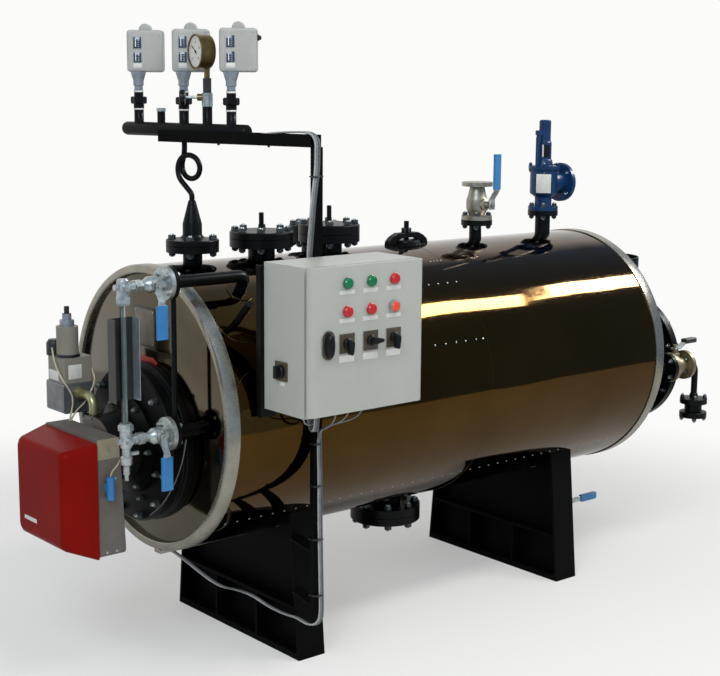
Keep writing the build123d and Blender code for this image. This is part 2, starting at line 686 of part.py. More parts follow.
# water gauge: black lines, two heads with lever cocks, glass and protector
tap_foot = Vector(gauge_tap_x, 0, shell_z) + Vector(tap_dir) * (shell_r - 20)
with BuildPart() as gauge_pipes:
    add(off_shell(pipe([(gauge_face_x + gauge_flange_t, gauge_y, gauge_top_z),
                        (gauge_tap_x, gauge_y, gauge_top_z), tap_foot], gauge_pipe_r, 34)))
    add(turned([(gauge_flange_r, 0), (gauge_flange_r, gauge_flange_t)], (gauge_face_x, gauge_y, gauge_top_z),
               (1, 0, 0)))
    add(turned([(gauge_flange_r, 0), (gauge_flange_r, gauge_flange_t), (gauge_pipe_r, gauge_flange_t),
                (gauge_pipe_r, plate_front - gauge_face_x)], (gauge_face_x, gauge_y, gauge_low_z), (1, 0, 0)))
    add(turned([(impulse_r, gauge_low_z), (impulse_r, gauge_top_z)], (impulse_x, gauge_y, 0)))
pieces["gauge_pipes"] = gauge_pipes.part

for name, z, lever_x, up in (("upper_gauge_cock", gauge_top_z, upper_lever_x, -1),
                             ("lower_gauge_cock", gauge_low_z, lower_lever_x, 1)):
    reach = gauge_face_x - gauge_x
    ball = gauge_face_x - lever_x
    with BuildPart() as head:
        add(turned([(gauge_flange_r, 0), (gauge_flange_r, gauge_flange_t), (25, gauge_flange_t + 3),
                    (22, ball - 22), (27, ball - 14), (27, ball + 14), (19, ball + 26), (15, ball + 34),
                    (15, reach)], (gauge_face_x, gauge_y, z), (-1, 0, 0)))
        add(turned([(16, 0), (16, gauge_y - lever_y - 6), (6, gauge_y - lever_y - 6), (6, gauge_y - lever_y + 8)],
                   (lever_x, gauge_y, z), (0, -1, 0)))
        add(turned([(head_r - 4, -26 * up), (head_r, -20 * up), (head_r, head_drop * up)], (gauge_x, gauge_y, z)))
        add(hexagon(38, (gauge_x, gauge_y, z + head_drop * up), (0, 0, up), gland_len))
        if up > 0:
            add(turned([(14, -20), (14, -50), (19, -54), (19, -78), (11, -84), (11, -112), (7, -112), (7, -132)],
                       (gauge_x, gauge_y, z)))
            add(turned([(7, 0), (7, 44)], (gauge_x, gauge_y, z - 46), (1, 0, 0)))
    pieces[name] = head.part
    low, grip_y = z - lever_len, lever_y - lever_crank
    with BuildPart() as lever:
        add(bent_lever(lever_x, [(lever_y + 3, z + 12), (lever_y + 3, z - 24), (grip_y + 3, z - 46),
                                 (grip_y + 3, low + sleeve_len - 20), (grip_y - 3, low + sleeve_len - 20),
                                 (grip_y - 3, z - 48), (lever_y - 3, z - 26), (lever_y - 3, z + 12)], 22,
                       (grip_y - 7, grip_y + 7, low, low + sleeve_len), sleeve_w))
        with Locations((lever_x, lever_y, z)):
            Cylinder(6 + fit, 30, rotation=(90, 0, 0), mode=Mode.SUBTRACT)
    pieces[name.replace("cock", "lever")] = lever.part

glass_low = gauge_low_z + head_drop + gland_len
glass_high = gauge_top_z - head_drop - gland_len
pieces["gauge_glass"] = turned([(glass_r, glass_low), (glass_r, glass_high)], (gauge_x, gauge_y, 0))
rod_y = gauge_y + head_r - 4
with BuildPart() as gauge_protector:
    add(block(gauge_x - protector_w / 2, gauge_x + protector_w / 2, rod_y + 7, rod_y + 4, protector_z0,
              protector_z1))
    for side in (-1, 1):
        edge = gauge_x + side * (protector_w / 2 - 1.5)
        add(block(edge - 1.5, edge + 1.5, rod_y + 7, gauge_y - 22, protector_z0, protector_z1))
    add(turned([(4, glass_low + 0.2), (4, glass_high - 0.2)], (gauge_x, rod_y, 0)))
pieces["gauge_protector"] = gauge_protector.part

# rear end: smoke box, its cover, flue outlet
smoke_x0 = plate_rear
with BuildPart() as smokebox:
    add(turned([(smoke_r, 0), (smoke_r, smoke_end - smoke_x0 - 2), (smoke_flange_r, smoke_end - smoke_x0 - 2),
                (smoke_flange_r, smoke_end - smoke_x0 + smoke_flange_t)], (smoke_x0, 0, smoke_z), (1, 0, 0)))
    add(turned([(flue_r + fit, smoke_z), (flue_r + fit, smoke_z + smoke_r + 20)], (flue_x, 0, 0)),
        mode=Mode.SUBTRACT)
pieces["smokebox"] = smokebox.part
cover_x = smoke_end + smoke_flange_t
pieces["smokebox_cover"] = turned(
    [(smoke_flange_r, 0), (smoke_flange_r, 14), (smoke_flange_r - 6, 20), (60, 20), (56, 28)],
    (cover_x, 0, smoke_z), (1, 0, 0))
with BuildPart() as flue:
    with BuildSketch(Plane.XY.offset(smoke_z)):
        with Locations((flue_x, 0)):
            Circle(flue_r)
            Circle(flue_r - flue_wall, mode=Mode.SUBTRACT)
    extrude(amount=flue_top - smoke_z)
pieces["flue_outlet"] = flue.part

# feed line with its valve at the rear
valve_end = feed_face + feed_valve_len
with BuildPart() as feed_pipe:
    add(turned([(feed_r, 0), (feed_r, feed_face - 20 - plate_rear), (feed_flange_r, feed_face - 20 - plate_rear),
                (feed_flange_r, feed_face - plate_rear)], (plate_rear, feed_y, feed_z), (1, 0, 0)))
    add(pipe([(valve_end + 12, feed_y, feed_z), (feed_drop_x, feed_y, feed_z),
              (feed_drop_x, feed_y, feed_low + 80)], 14, feed_bend))
    add(turned([(50, valve_end), (50, valve_end + 14)], (0, feed_y, feed_z), (1, 0, 0)))
    add(turned([(60, feed_low), (60, feed_low + 24), (38, feed_low + 28), (38, feed_low + 58),
                (60, feed_low + 62), (60, feed_low + 86), (18, feed_low + 90), (18, feed_low + 106)],
               (feed_drop_x, feed_y, 0)))
pieces["feed_pipe"] = feed_pipe.part
feed_stem_x = feed_face + 45
with BuildPart() as feed_valve:
    add(turned([(feed_flange_r, feed_face), (feed_flange_r, feed_face + 18), (30, feed_face + 20),
                (40, feed_face + 40), (40, valve_end - 48), (30, valve_end - 20), (feed_flange_r, valve_end - 18),
                (feed_flange_r, valve_end)], (0, feed_y, feed_z), (1, 0, 0)))
    add(turned([(22, feed_z), (22, feed_z + 58), (13, feed_z + 60), (13, feed_z + 74), (8, feed_z + 74),
                (8, feed_z + 96)], (feed_stem_x, feed_y, 0)))
pieces["feed_valve"] = feed_valve.part
with BuildPart() as feed_lever:
    with BuildSketch(Plane(origin=(feed_stem_x, feed_y, feed_z), x_dir=(1, 0, 0), z_dir=(0, -1, 0))):
        with BuildLine():
            Polyline((-16, 76), (26, 76), (56, 94), (130, 108), (130, 114), (54, 100), (24, 82), (-16, 82),
                     close=True)
        make_face()
    extrude(amount=13, both=True)
    add(block(feed_stem_x + 62, feed_stem_x + 132, feed_y - 16, feed_y + 16, feed_z + 94, feed_z + 116,
              Axis.X, 6))
    with Locations((feed_stem_x, feed_y, feed_z + 80)):
        Cylinder(8 + fit, 40, mode=Mode.SUBTRACT)
pieces["feed_lever"] = feed_lever.part

# blowdown valve under the shell
with BuildPart() as blow_valve:
    add(off_shell(turned([(17, blow_z - 70), (17, blow_z - 44), (26, blow_z - 42), (26, blow_z - 22),
                          (31, blow_z - 18), (31, blow_z + 18), (26, blow_z + 22), (26, blow_z + 42),
                          (17, blow_z + 44), (17, shell_z)], (blow_x, blow_y, 0))))
    add(turned([(15, 0), (15, blow_y - blow_lever_y - 5), (7, blow_y - blow_lever_y - 5),
                (7, blow_y - blow_lever_y + 9)], (blow_x, blow_y, blow_z), (0, -1, 0)))
pieces["blowdown_valve"] = blow_valve.part
with BuildPart() as blow_lever:
    add(block(blow_x - 14, blow_x + 90, blow_lever_y + 3, blow_lever_y - 3, blow_z - 11, blow_z + 11))
    add(block(blow_x + 75, blow_x + 173, blow_lever_y + 8, blow_lever_y - 8, blow_z - 15, blow_z + 15, Axis.Y, 6))
    with Locations((blow_x, blow_lever_y, blow_z)):
        Cylinder(7 + fit, 30, rotation=(90, 0, 0), mode=Mode.SUBTRACT)
pieces["blowdown_lever"] = blow_lever.part

# cabinet: open case, door, and what the door carries
cab_x1 = cab_x0 + cab_w
cab_z1 = cab_z0 + cab_h
case_front = cab_back - cab_d
door_back = case_front - door_gap
door_front = door_back - door_plate
hinge_x = cab_x1 + 1.0
hinge_y = case_front - door_gap / 2
hinge_r = 7.0
hinge_z = (cab_z0 + 70, cab_z1 - 70)
gland_x = (cab_x0 + 101, cab_x0 + 160, cab_x0 + 242, cab_x0 + 298, cab_x0 + 358)
gland_y = cab_back - 71.5
arm_gland_x = gland_x[1]
with BuildPart() as cabinet_case:
    add(block(cab_x0, cab_x1, case_front, cab_back, cab_z0, cab_z1))
    add(block(cab_x0 + rim_in, cab_x1 - rim_in, case_front - door_gap + 1.2, case_front, cab_z0 + rim_in,
              cab_z1 - rim_in))
    add(block(cab_x0 + cab_wall, cab_x1 - cab_wall, case_front + rim_t, cab_back - cab_wall, cab_z0 + cab_wall,
              cab_z1 - cab_wall), mode=Mode.SUBTRACT)
    mouth = rim_in + rim_t
    add(block(cab_x0 + mouth, cab_x1 - mouth, case_front - door_gap, case_front + 2 * rim_t, cab_z0 + mouth,
              cab_z1 - mouth), mode=Mode.SUBTRACT)
    for z in hinge_z:
        add(turned([(hinge_r + 1.5, z - 0.5), (hinge_r + 1.5, z + 31)], (hinge_x, hinge_y, 0)),
            mode=Mode.SUBTRACT)
        add(turned([(hinge_r, z - 30), (hinge_r, z - fit)], (hinge_x, hinge_y, 0)))
    for x in gland_x:
        gland_r = 13 if x == arm_gland_x else 9
        add(turned([(gland_r, cab_z0 - 14), (gland_r, cab_z0)], (x, gland_y, 0)))
    add(block(cab_x0 - 4, cab_x0, isolator_y - 32, isolator_y + 32, isolator_z - 31, isolator_z + 31, Axis.X, 4))
    add(turned([(8, 0), (8, 8)], (cab_x0, isolator_y, isolator_z), (-1, 0, 0)))
pieces["cabinet_case"] = cabinet_case.part

with BuildPart() as cabinet_door:
    add(block(cab_x0, cab_x1, door_front, door_back, cab_z0 + door_lift, cab_z1))
    fillet(cabinet_door.edges().filter_by(Axis.Z).group_by(Axis.Y)[0], door_round)
    for z in hinge_z:
        add(turned([(hinge_r + 1.5, z - 31), (hinge_r + 1.5, z + 0.5)], (hinge_x, hinge_y, 0)),
            mode=Mode.SUBTRACT)
        add(turned([(hinge_r, z + fit), (hinge_r, z + 30)], (hinge_x, hinge_y, 0)))
pieces["cabinet_door"] = cabinet_door.part

knob_plate = 3.0
with BuildPart() as door_fittings:
    for x in lamp_x:
        for z in lamp_z:
            add(turned([(lamp_r, 0), (lamp_r, 3), (lamp_r - 1.5, 4), (lamp_r - 1.5, 12), (lamp_r - 5, 16)],
                       (x, door_front, z), (0, -1, 0)))
        add(block(x - 31, x + 31, door_front - knob_plate, door_front, knob_z - 32, knob_z + 32, Axis.Y, 3))
        add(turned([(9, 0), (9, knob_plate + 4)], (x, door_front, knob_z), (0, -1, 0)))
    with BuildSketch(Plane(origin=(latch_x, door_front, latch_z), x_dir=(1, 0, 0), z_dir=(0, -1, 0))):
        SlotOverall(94, 51, rotation=90)
    extrude(amount=5)
    add(turned([(8, 0), (8, 9)], (latch_x, door_front, latch_z), (0, -1, 0)))
pieces["door_fittings"] = door_fittings.part

for number, x in enumerate(lamp_x, 1):
    tail = (30, 0) if number == 2 else (0, -30)
    face = door_front - knob_plate - 1
    with BuildPart() as knob:
        add(turned([(17, 0), (17, 7), (14, 10)], (x, face, knob_z), (0, -1, 0)))
        with BuildSketch(Plane(origin=(x, face - 8, knob_z), x_dir=(1, 0, 0), z_dir=(0, -1, 0))):
            Circle(10.5)
            with Locations(tail):
                Circle(6)
            make_hull()
        extrude(amount=18)
        add(turned([(9 + fit, -2), (9 + fit, 3 + fit)], (x, face, knob_z), (0, -1, 0)), mode=Mode.SUBTRACT)
    pieces[f"selector_knob_{number}"] = knob.part

with BuildPart() as latch:
    with BuildSketch(Plane(origin=(latch_x, door_front - 6, latch_z), x_dir=(1, 0, 0), z_dir=(0, -1, 0))):
        Ellipse(17, 41)
    with BuildSketch(Plane(origin=(latch_x, door_front - 20, latch_z), x_dir=(1, 0, 0), z_dir=(0, -1, 0))):
        Ellipse(15, 38)
    with BuildSketch(Plane(origin=(latch_x, door_front - 26, latch_z), x_dir=(1, 0, 0), z_dir=(0, -1, 0))):
        Ellipse(9, 32)
    loft(ruled=True)
    add(turned([(8 + fit, -2), (8 + fit, 4)], (latch_x, door_front - 6, latch_z), (0, -1, 0)), mode=Mode.SUBTRACT)
pieces["door_latch"] = latch.part

with BuildPart() as isolator_knob:
    add(turned([(22, 0), (22, 8), (19, 11)], (cab_x0 - 5, isolator_y, isolator_z), (-1, 0, 0)))
    add(block(cab_x0 - 30, cab_x0 - 12, isolator_y - 7, isolator_y + 7, isolator_z - 21, isolator_z + 21,
              Axis.X, 5))
    add(turned([(8 + fit, -2), (8 + fit, 4)], (cab_x0 - 5, isolator_y, isolator_z), (-1, 0, 0)),
        mode=Mode.SUBTRACT)
pieces["isolator_knob"] = isolator_knob.part

with BuildPart() as rail:
    add(block(rail_x, rail_x + rail_w, cab_back, cab_back + rail_t, cab_z0 - 30, cab_z1 - 11))
    add(block(rail_x + 4, rail_x + rail_w - 4, cab_back + 4, cab_back + rail_t + 1, cab_z0 - 40, cab_z1),
        mode=Mode.SUBTRACT)
pieces["cabinet_rail"] = rail.part

# cables clipped along the arm, the post and the leg
side_x, side_y = -113.5, cab_back + 11.5
upper_route = [rig(306, 0, 1850), rig(380, 1, 1860), rig(470, -1, 1867), rig(557, 0, 1868.5),
               rig(582.8, 0, 1843), (-96.5, -537, 1790), (-98, -537, 1745), (-106, -537, 1690),
               (-113.5, -537, 1640), (-116, -535, 1590), (-115.5, -528, 1540),
               (-114, -519.5, 1490), (side_x, side_y, 1440), (side_x, side_y, 940), (-116, -523.5, 908),
               (-124, -544, 886), (-134.5, -571, 884), (-143, -592, 902), (arm_gland_x, gland_y, 932),
               (arm_gland_x, gland_y, cab_z0 - 14)]
pieces["arm_cables"] = cable("arm cables", upper_route, 17)
bundle_top = 846.0
lower_route = [(-84.2, -536.4, bundle_top), (-84.4, -536.4, 800), (-82, -536.4, 740), (-81.2, -536.4, 640),
               (-81, -536.4, 560), (-77.4, -536.4, 400), (-74.8, -536.4, 290), (-74, -536.4, 216),
               (-79, -528, 192),
               (-84, -508, 178), (-86, -478, 172), (-84, -440, 174), (-77, -396, 172), (-73, -350, 164),
               (-76, -290, 163), (-84, -225, 172), (-110, -178, 200), (-160, -150, 224), (-212, -130, 240),
               (-258, -102, 280), (-290, -66, 318), (-318, -38, 348), (-343, -21, 371), (-363, -10.5, 388)]
pieces["leg_cable"] = cable("leg cable", lower_route, 15)
with BuildPart() as loops:
    left, right, near, far = -87.2, -81.2, -539.4, -533.4
    for x, curve, end_x, end_y in (
            (gland_x[0], [(-204, -600, 946), (-192, -595, 924), (-164, -581, 912), (-130, -563, 910),
                          (-104, -547, 899), (-90, -537, 882)], left, far),
            (gland_x[2], [(-64, -599, 936), (-68, -588, 908), (-76, -566, 888), (-86, -546, 878)], left, near),
            (gland_x[3], [(-9, -600, 940), (-24, -592, 914), (-48, -576, 899), (-68, -558, 890), (-80, -544, 878)],
             right, near),
            (gland_x[4], [(51, -600, 940), (34, -592, 916), (2, -578, 903), (-34, -562, 896), (-62, -548, 888),
                          (-78, -537, 876)], right, far)):
        add(cable("loop", [(x, gland_y, cab_z0 - 14)] + curve + [(end_x, end_y, bundle_top + 16),
                                                                 (end_x, end_y, bundle_top + 0.3)], 5.5))
pieces["cabinet_cables"] = loops.part

for name, part in pieces.items():
    part.label = name
    export_step(part, f"parts/{name}.step")
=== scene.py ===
import json
import math
import bmesh
import bpy
from mathutils import Matrix, Vector


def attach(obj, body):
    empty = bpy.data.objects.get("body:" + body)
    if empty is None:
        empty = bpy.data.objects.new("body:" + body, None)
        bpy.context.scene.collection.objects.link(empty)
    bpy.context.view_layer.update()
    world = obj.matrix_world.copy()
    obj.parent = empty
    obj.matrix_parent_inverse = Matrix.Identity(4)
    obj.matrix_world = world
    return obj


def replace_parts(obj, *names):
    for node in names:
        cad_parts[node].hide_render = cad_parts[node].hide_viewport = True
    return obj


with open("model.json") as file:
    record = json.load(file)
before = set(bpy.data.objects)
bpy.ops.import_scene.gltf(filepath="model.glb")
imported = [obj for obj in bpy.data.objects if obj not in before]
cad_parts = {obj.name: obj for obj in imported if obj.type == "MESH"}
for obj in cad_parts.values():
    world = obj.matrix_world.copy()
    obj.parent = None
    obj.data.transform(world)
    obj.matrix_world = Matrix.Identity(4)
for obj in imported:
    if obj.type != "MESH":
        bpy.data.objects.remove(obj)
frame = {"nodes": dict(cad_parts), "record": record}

scene = bpy.context.scene
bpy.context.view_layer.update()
print("frame loaded")


def srgb(code):
    parts = [int(code[i:i + 2], 16) / 255 for i in (1, 3, 5)]
    return tuple(p / 12.92 if p <= 0.04045 else ((p + 0.055) / 1.055) ** 2.4 for p in parts) + (1.0,)


def addNode(tree, kind, settings=None, links=None):
    node = tree.nodes.new("ShaderNode" + kind)
    for key, value in (settings or {}).items():
        setattr(node, key, value)
    for key, value in (links or {}).items():
        if isinstance(value, bpy.types.NodeSocket):
            tree.links.new(value, node.inputs[key])
        else:
            node.inputs[key].default_value = value
    return node


def noise(tree, place, size, detail, rough=0.5):
    # size is in millimetres
    given = {"Vector": place, "Scale": 1000 / size, "Detail": detail, "Roughness": rough}
    return addNode(tree, "TexNoise", None, given).outputs["Fac"]


def ramp(tree, value, low, high, bottom=0.0, top=1.0):
    # carries a value over from one range to another, held at the ends
    given = {"Value": value, "From Min": low, "From Max": high, "To Min": bottom, "To Max": top}
    return addNode(tree, "MapRange", {"clamp": True}, given).outputs[0]


def blend(tree, share, first, second):
    # both are colours or colour outputs
    return addNode(tree, "Mix", {"data_type": "RGBA"}, {"Factor": share, 6: first, 7: second}).outputs[2]


def newMaterial(name):
    material = bpy.data.materials.new(name)
    material.use_nodes = True
    return material, material.node_tree, material.node_tree.nodes["Principled BSDF"]


def addObject(name, data):
    thing = bpy.data.objects.new(name, data)
    scene.collection.objects.link(thing)
    return thing


def finishFor(name, look):
    # colour drifts between two tones, fine grain drives gloss and bump; sizes are in millimetres
    material, tree, shader = newMaterial(name)
    place = addNode(tree, "TexCoord").outputs["Object"]
    stretched = addNode(tree, "Mapping", None, {"Vector": place, "Scale": look.get("stretch", (1, 1, 1))})
    drift = noise(tree, place, look["driftMm"], 4, 0.6)
    grain = noise(tree, stretched.outputs[0], look.get("grainMm", 1.0), 3)
    colour = blend(tree, ramp(tree, drift, 0.35, 0.68), srgb(look["colour"]), srgb(look["second"]))
    if "fleck" in look:
        # dust, chips or rubbed spots where a second noise peaks
        spots = noise(tree, place, look["fleckMm"], 5, 0.7)
        amount = ramp(tree, spots, 0.58, 0.72, 0.0, look["fleckMost"])
        colour = blend(tree, amount, colour, srgb(look["fleck"]))
    tree.links.new(colour, shader.inputs["Base Color"])
    spread = look.get("glossSpread", 0.06)
    gloss = ramp(tree, grain, 0.3, 0.7, max(look["rough"] - spread, 0.02), look["rough"] + spread)
    tree.links.new(gloss, shader.inputs["Roughness"])
    fine = addNode(tree, "Bump", None, {"Height": grain, "Strength": look.get("bump", 0.2),
                                        "Distance": look.get("deep", 0.0006)})
    if "dentMm" in look:
        dent = noise(tree, place, look["dentMm"], 1, 0.3)
        soft = addNode(tree, "Bump", None, {"Height": dent, "Strength": 1.0, "Distance": look["dentDeep"]})
        tree.links.new(soft.outputs[0], fine.inputs["Normal"])
    tree.links.new(fine.outputs[0], shader.inputs["Normal"])
    shader.inputs["Metallic"].default_value = look.get("metallic", 0.0)
    shader.inputs["Specular IOR Level"].default_value = look.get("specular", 0.5)
    if "coat" in look:
        shader.inputs["Coat Weight"].default_value = look["coat"]
        shader.inputs["Coat Roughness"].default_value = 0.06
    if "glow" in look:
        shader.inputs["Emission Color"].default_value = srgb(look["colour"])
        shader.inputs["Emission Strength"].default_value = look["glow"]
    return material


looks = {
    # mirror-rolled stainless sheet; its deep bronze base colour is a painted reflection of a brown hall,
    # wandering over shallow dents
    "polishedStainless": {
        "colour": "#4b3617", "second": "#412e12", "driftMm": 420, "metallic": 1.0, "rough": 0.06,
        "glossSpread": 0.02, "grainMm": 6, "stretch": (0.2, 1, 1), "bump": 0.03, "deep": 0.0004,
        "dentMm": 300, "dentDeep": 0.004},
    # flat end plate of the same sheet; its greyer base colour is a painted reflection of a light wall it
    # faces
    "mirrorPlate": {
        "colour": "#5f574a", "second": "#4f483b", "driftMm": 300, "metallic": 1.0, "rough": 0.09,
        "glossSpread": 0.03, "grainMm": 5, "bump": 0.03, "deep": 0.0004, "dentMm": 330, "dentDeep": 0.006},
    # brushed aluminium angle ring: pale satin with fine lines round it
    "brushedRim": {
        "colour": "#979388", "second": "#7d796e", "driftMm": 140, "metallic": 0.85, "rough": 0.27,
        "stretch": (1.0, 0.12, 0.12), "bump": 0.12},
    # alkyd machinery paint on castings and pipe, satin black with dust in the grain
    "blackPaint": {
        "colour": "#070707", "second": "#0c0c0b", "driftMm": 70, "rough": 0.36, "grainMm": 2.2,
        "bump": 0.22, "glossSpread": 0.1, "specular": 0.12, "fleck": "#191713", "fleckMm": 14,
        "fleckMost": 0.35},
    # the same paint brushed flat on plate work, duller
    "blackPlate": {
        "colour": "#050505", "second": "#090908", "driftMm": 160, "rough": 0.5, "grainMm": 4.0,
        "glossSpread": 0.08, "specular": 0.04, "fleck": "#100f0b", "fleckMm": 30, "fleckMost": 0.3},
    # moulded ABS hood, deep glossy red
    "redHood": {
        "colour": "#7b0f0a", "second": "#700d08", "driftMm": 220, "rough": 0.27, "bump": 0.05,
        "specular": 0.035},
    # die-cast aluminium casing painted brownish grey, matt with cast skin
    "castGrey": {
        "colour": "#68615a", "second": "#5d5650", "driftMm": 60, "metallic": 0.2, "rough": 0.5,
        "grainMm": 1.6, "bump": 0.3, "fleck": "#5a5148", "fleckMm": 25, "fleckMost": 0.35},
    # tan primed bracket on the casing
    "tanPlate": {
        "colour": "#8f8672", "second": "#867c69", "driftMm": 30, "rough": 0.5, "grainMm": 1.2,
        "bump": 0.15},
    # machined aluminium block, cold and mid grey
    "castAlloy": {
        "colour": "#7d8084", "second": "#66696d", "driftMm": 40, "metallic": 0.7, "rough": 0.4,
        "bump": 0.25},
    # moulded polycarbonate actuator housing, warm grey
    "actuatorGrey": {
        "colour": "#7f7c73", "second": "#757269", "driftMm": 90, "rough": 0.45, "grainMm": 0.9,
        "bump": 0.18, "specular": 0.25},
    # switch housings, pale cool grey enamel
    "switchGrey": {
        "colour": "#a2a3a1", "second": "#999a98", "driftMm": 90, "rough": 0.42, "grainMm": 0.9,
        "bump": 0.12, "deep": 0.0003, "specular": 0.3},
    # plated neck of a switch, blue-grey
    "neckGrey": {
        "colour": "#8d949b", "second": "#7b828a", "driftMm": 20, "metallic": 0.5, "rough": 0.35,
        "bump": 0.12},
    # zinc-plated steel: pale, slightly blue, cloudy
    "zincPlate": {
        "colour": "#b6bbb9", "second": "#8b918f", "driftMm": 18, "metallic": 0.7, "rough": 0.3,
        "bump": 0.15},
    # dulled zinc nuts with paint on them
    "nutZinc": {"colour": "#4f5557", "second": "#2b2e2f", "driftMm": 12, "metallic": 0.6, "rough": 0.38},
    # investment-cast stainless valve, sandy grey
    "castStainless": {
        "colour": "#a09a8b", "second": "#857f71", "driftMm": 25, "metallic": 0.75, "rough": 0.38,
        "grainMm": 1.4, "bump": 0.25},
    # bronze feed valve gone dull
    "dullBronze": {
        "colour": "#857a5e", "second": "#675e47", "driftMm": 22, "metallic": 0.6, "rough": 0.42,
        "grainMm": 1.2, "bump": 0.25},
    # yellow chromated fitting, greenish gold
    "yellowZinc": {
        "colour": "#b7ae84", "second": "#918c62", "driftMm": 15, "metallic": 0.8, "rough": 0.3,
        "bump": 0.12},
    # dipped vinyl sleeve, soft blue with a slight sheen
    "vinylBlue": {"colour": "#2b74ad", "second": "#256a9f", "driftMm": 60, "rough": 0.42, "grainMm": 1.4},
    # deep blue enamel over a rough casting
    "enamelBlue": {
        "colour": "#0d3460", "second": "#0a284c", "driftMm": 40, "rough": 0.34, "grainMm": 3.0, "bump": 0.3,
        "coat": 0.05, "specular": 0.25},
    # brass, worn golden
    "turnedBrass": {
        "colour": "#6f5b34", "second": "#544426", "driftMm": 25, "metallic": 0.8, "rough": 0.32,
        "grainMm": 0.8, "bump": 0.1},
    # powder coat in light grey with orange-peel skin
    "powderGrey": {
        "colour": "#a8aaa5", "second": "#a2a49f", "driftMm": 260, "rough": 0.45, "grainMm": 1.6,
        "deep": 0.0004, "specular": 0.35},
    # phenolic knobs and wheels, dense black
    "phenolic": {
        "colour": "#0e0e0f", "second": "#161617", "driftMm": 30, "rough": 0.33, "bump": 0.08,
        "specular": 0.2},
    # knob plates, dark bronze anodised
    "plateBronze": {
        "colour": "#5a503f", "second": "#4c4334", "driftMm": 20, "metallic": 0.4, "rough": 0.38,
        "grainMm": 0.8, "bump": 0.08},
    # protector channel, dark grey enamel
    "darkAnodised": {
        "colour": "#33322f", "second": "#292826", "driftMm": 60, "metallic": 0.3, "rough": 0.38,
        "grainMm": 1.2, "stretch": (1, 1, 0.1), "bump": 0.12},
    # black nylon ties and glands
    "nylonBlack": {"colour": "#101010", "second": "#171717", "driftMm": 15, "rough": 0.45, "bump": 0.1},
    # bare engraved-stock plate, matt white
    "plateWhite": {
        "colour": "#cdcdca", "second": "#c3c3c0", "driftMm": 12, "rough": 0.45, "grainMm": 0.8,
        "bump": 0.05},
    # thread tape, white and fibrous
    "threadTape": {"colour": "#dcdcd8", "second": "#c4c4c0", "driftMm": 6, "rough": 0.6, "bump": 0.4},
    # stamped aluminium data plate, bare
    "plateAlloy": {
        "colour": "#6b6357", "second": "#5b544a", "driftMm": 30, "metallic": 0.5, "rough": 0.42,
        "bump": 0.1},
    # red enamelled plate
    "markerRed": {"colour": "#a0301f", "second": "#8c281a", "driftMm": 30, "rough": 0.4, "bump": 0.08},
    # dark sight windows of the switches
    "windowBlue": {
        "colour": "#26344f", "second": "#1d2940", "driftMm": 14, "rough": 0.12, "bump": 0.02, "coat": 0.6},
    # dial face, white enamel
    "dialWhite": {
        "colour": "#c9cac6", "second": "#c0c1bd", "driftMm": 40, "rough": 0.4, "grainMm": 0.8,
        "bump": 0.04},
}
# PVC cable sheaths in dull greys, and a cream flexible one
for name, colour, second, bump in (("cableSheath", "#7f8183", "#6f7173", 0.15),
                                   ("sheathLight", "#a2a4a5", "#939596", 0.15),
                                   ("sheathDark", "#55585b", "#4a4d50", 0.15),
                                   ("creamSheath", "#b9b29b", "#a8a18b", 0.12)):
    looks[name] = {"colour": colour, "second": second, "driftMm": 25, "rough": 0.5, "grainMm": 1.2,
                   "bump": bump}
# lamp lenses, ribbed acrylic; the lit lens glows as its lamp, the unlit green and red ones get a faint
# painted glow
for name, colour, second, glow in (("lensGreen", "#0b6a3f", "#095a36", 0.06),
                                   ("lensRed", "#b31e1d", "#9d1818", 0.06),
                                   ("lensLit", "#d2492f", "#c23a24", 0.22)):
    looks[name] = {"colour": colour, "second": second, "driftMm": 20, "rough": 0.22, "bump": 0.05,
                   "coat": 0.15, "glow": glow}
skin = {name: finishFor(name, look) for name, look in looks.items()}

# borosilicate gauge tube: clear and faintly green, dulled by scale inside
glassTube, tree, glassShader = newMaterial("boroGlass")
glassNoise = addNode(tree, "TexNoise", None, {"Scale": 30.0, "Detail": 2}).outputs["Fac"]
tree.links.new(ramp(tree, glassNoise, 0, 1, 0.02, 0.09), glassShader.inputs["Roughness"])
glassShader.inputs["Base Color"].default_value = srgb("#a9b8b1")
glassShader.inputs["Transmission Weight"].default_value = 0.85
glassShader.inputs["IOR"].default_value = 1.47
skin["glassTube"] = glassTube
print("materials made")


def settle(bm, name, finishes, body, smooth=35, bevel=0.0, turnOut=True):
    # turns a bmesh into a finished piece that rides on its body
    if turnOut:
        bmesh.ops.recalc_face_normals(bm, faces=bm.faces)
    mesh = bpy.data.meshes.new(name)
    bm.to_mesh(mesh)
    bm.free()
    piece = addObject(name, mesh)
    for finish in ([finishes] if isinstance(finishes, str) else finishes):
        mesh.materials.append(skin[finish])
    mesh.shade_smooth()
    mesh.set_sharp_from_angle(angle=math.radians(smooth))
    if bevel > 0:
        edge = piece.modifiers.new("edge", "BEVEL")
        edge.width = bevel
        edge.segments = 2
        edge.limit_method = "ANGLE"
        edge.angle_limit = math.radians(40)
        flat = piece.modifiers.new("flat", "WEIGHTED_NORMAL")
        flat.keep_sharp = True
    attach(piece, body)
    return piece


bodyOf = {node: name for name, nodes in frame["record"]["behaviour"]["bodies"].items() for node in nodes}


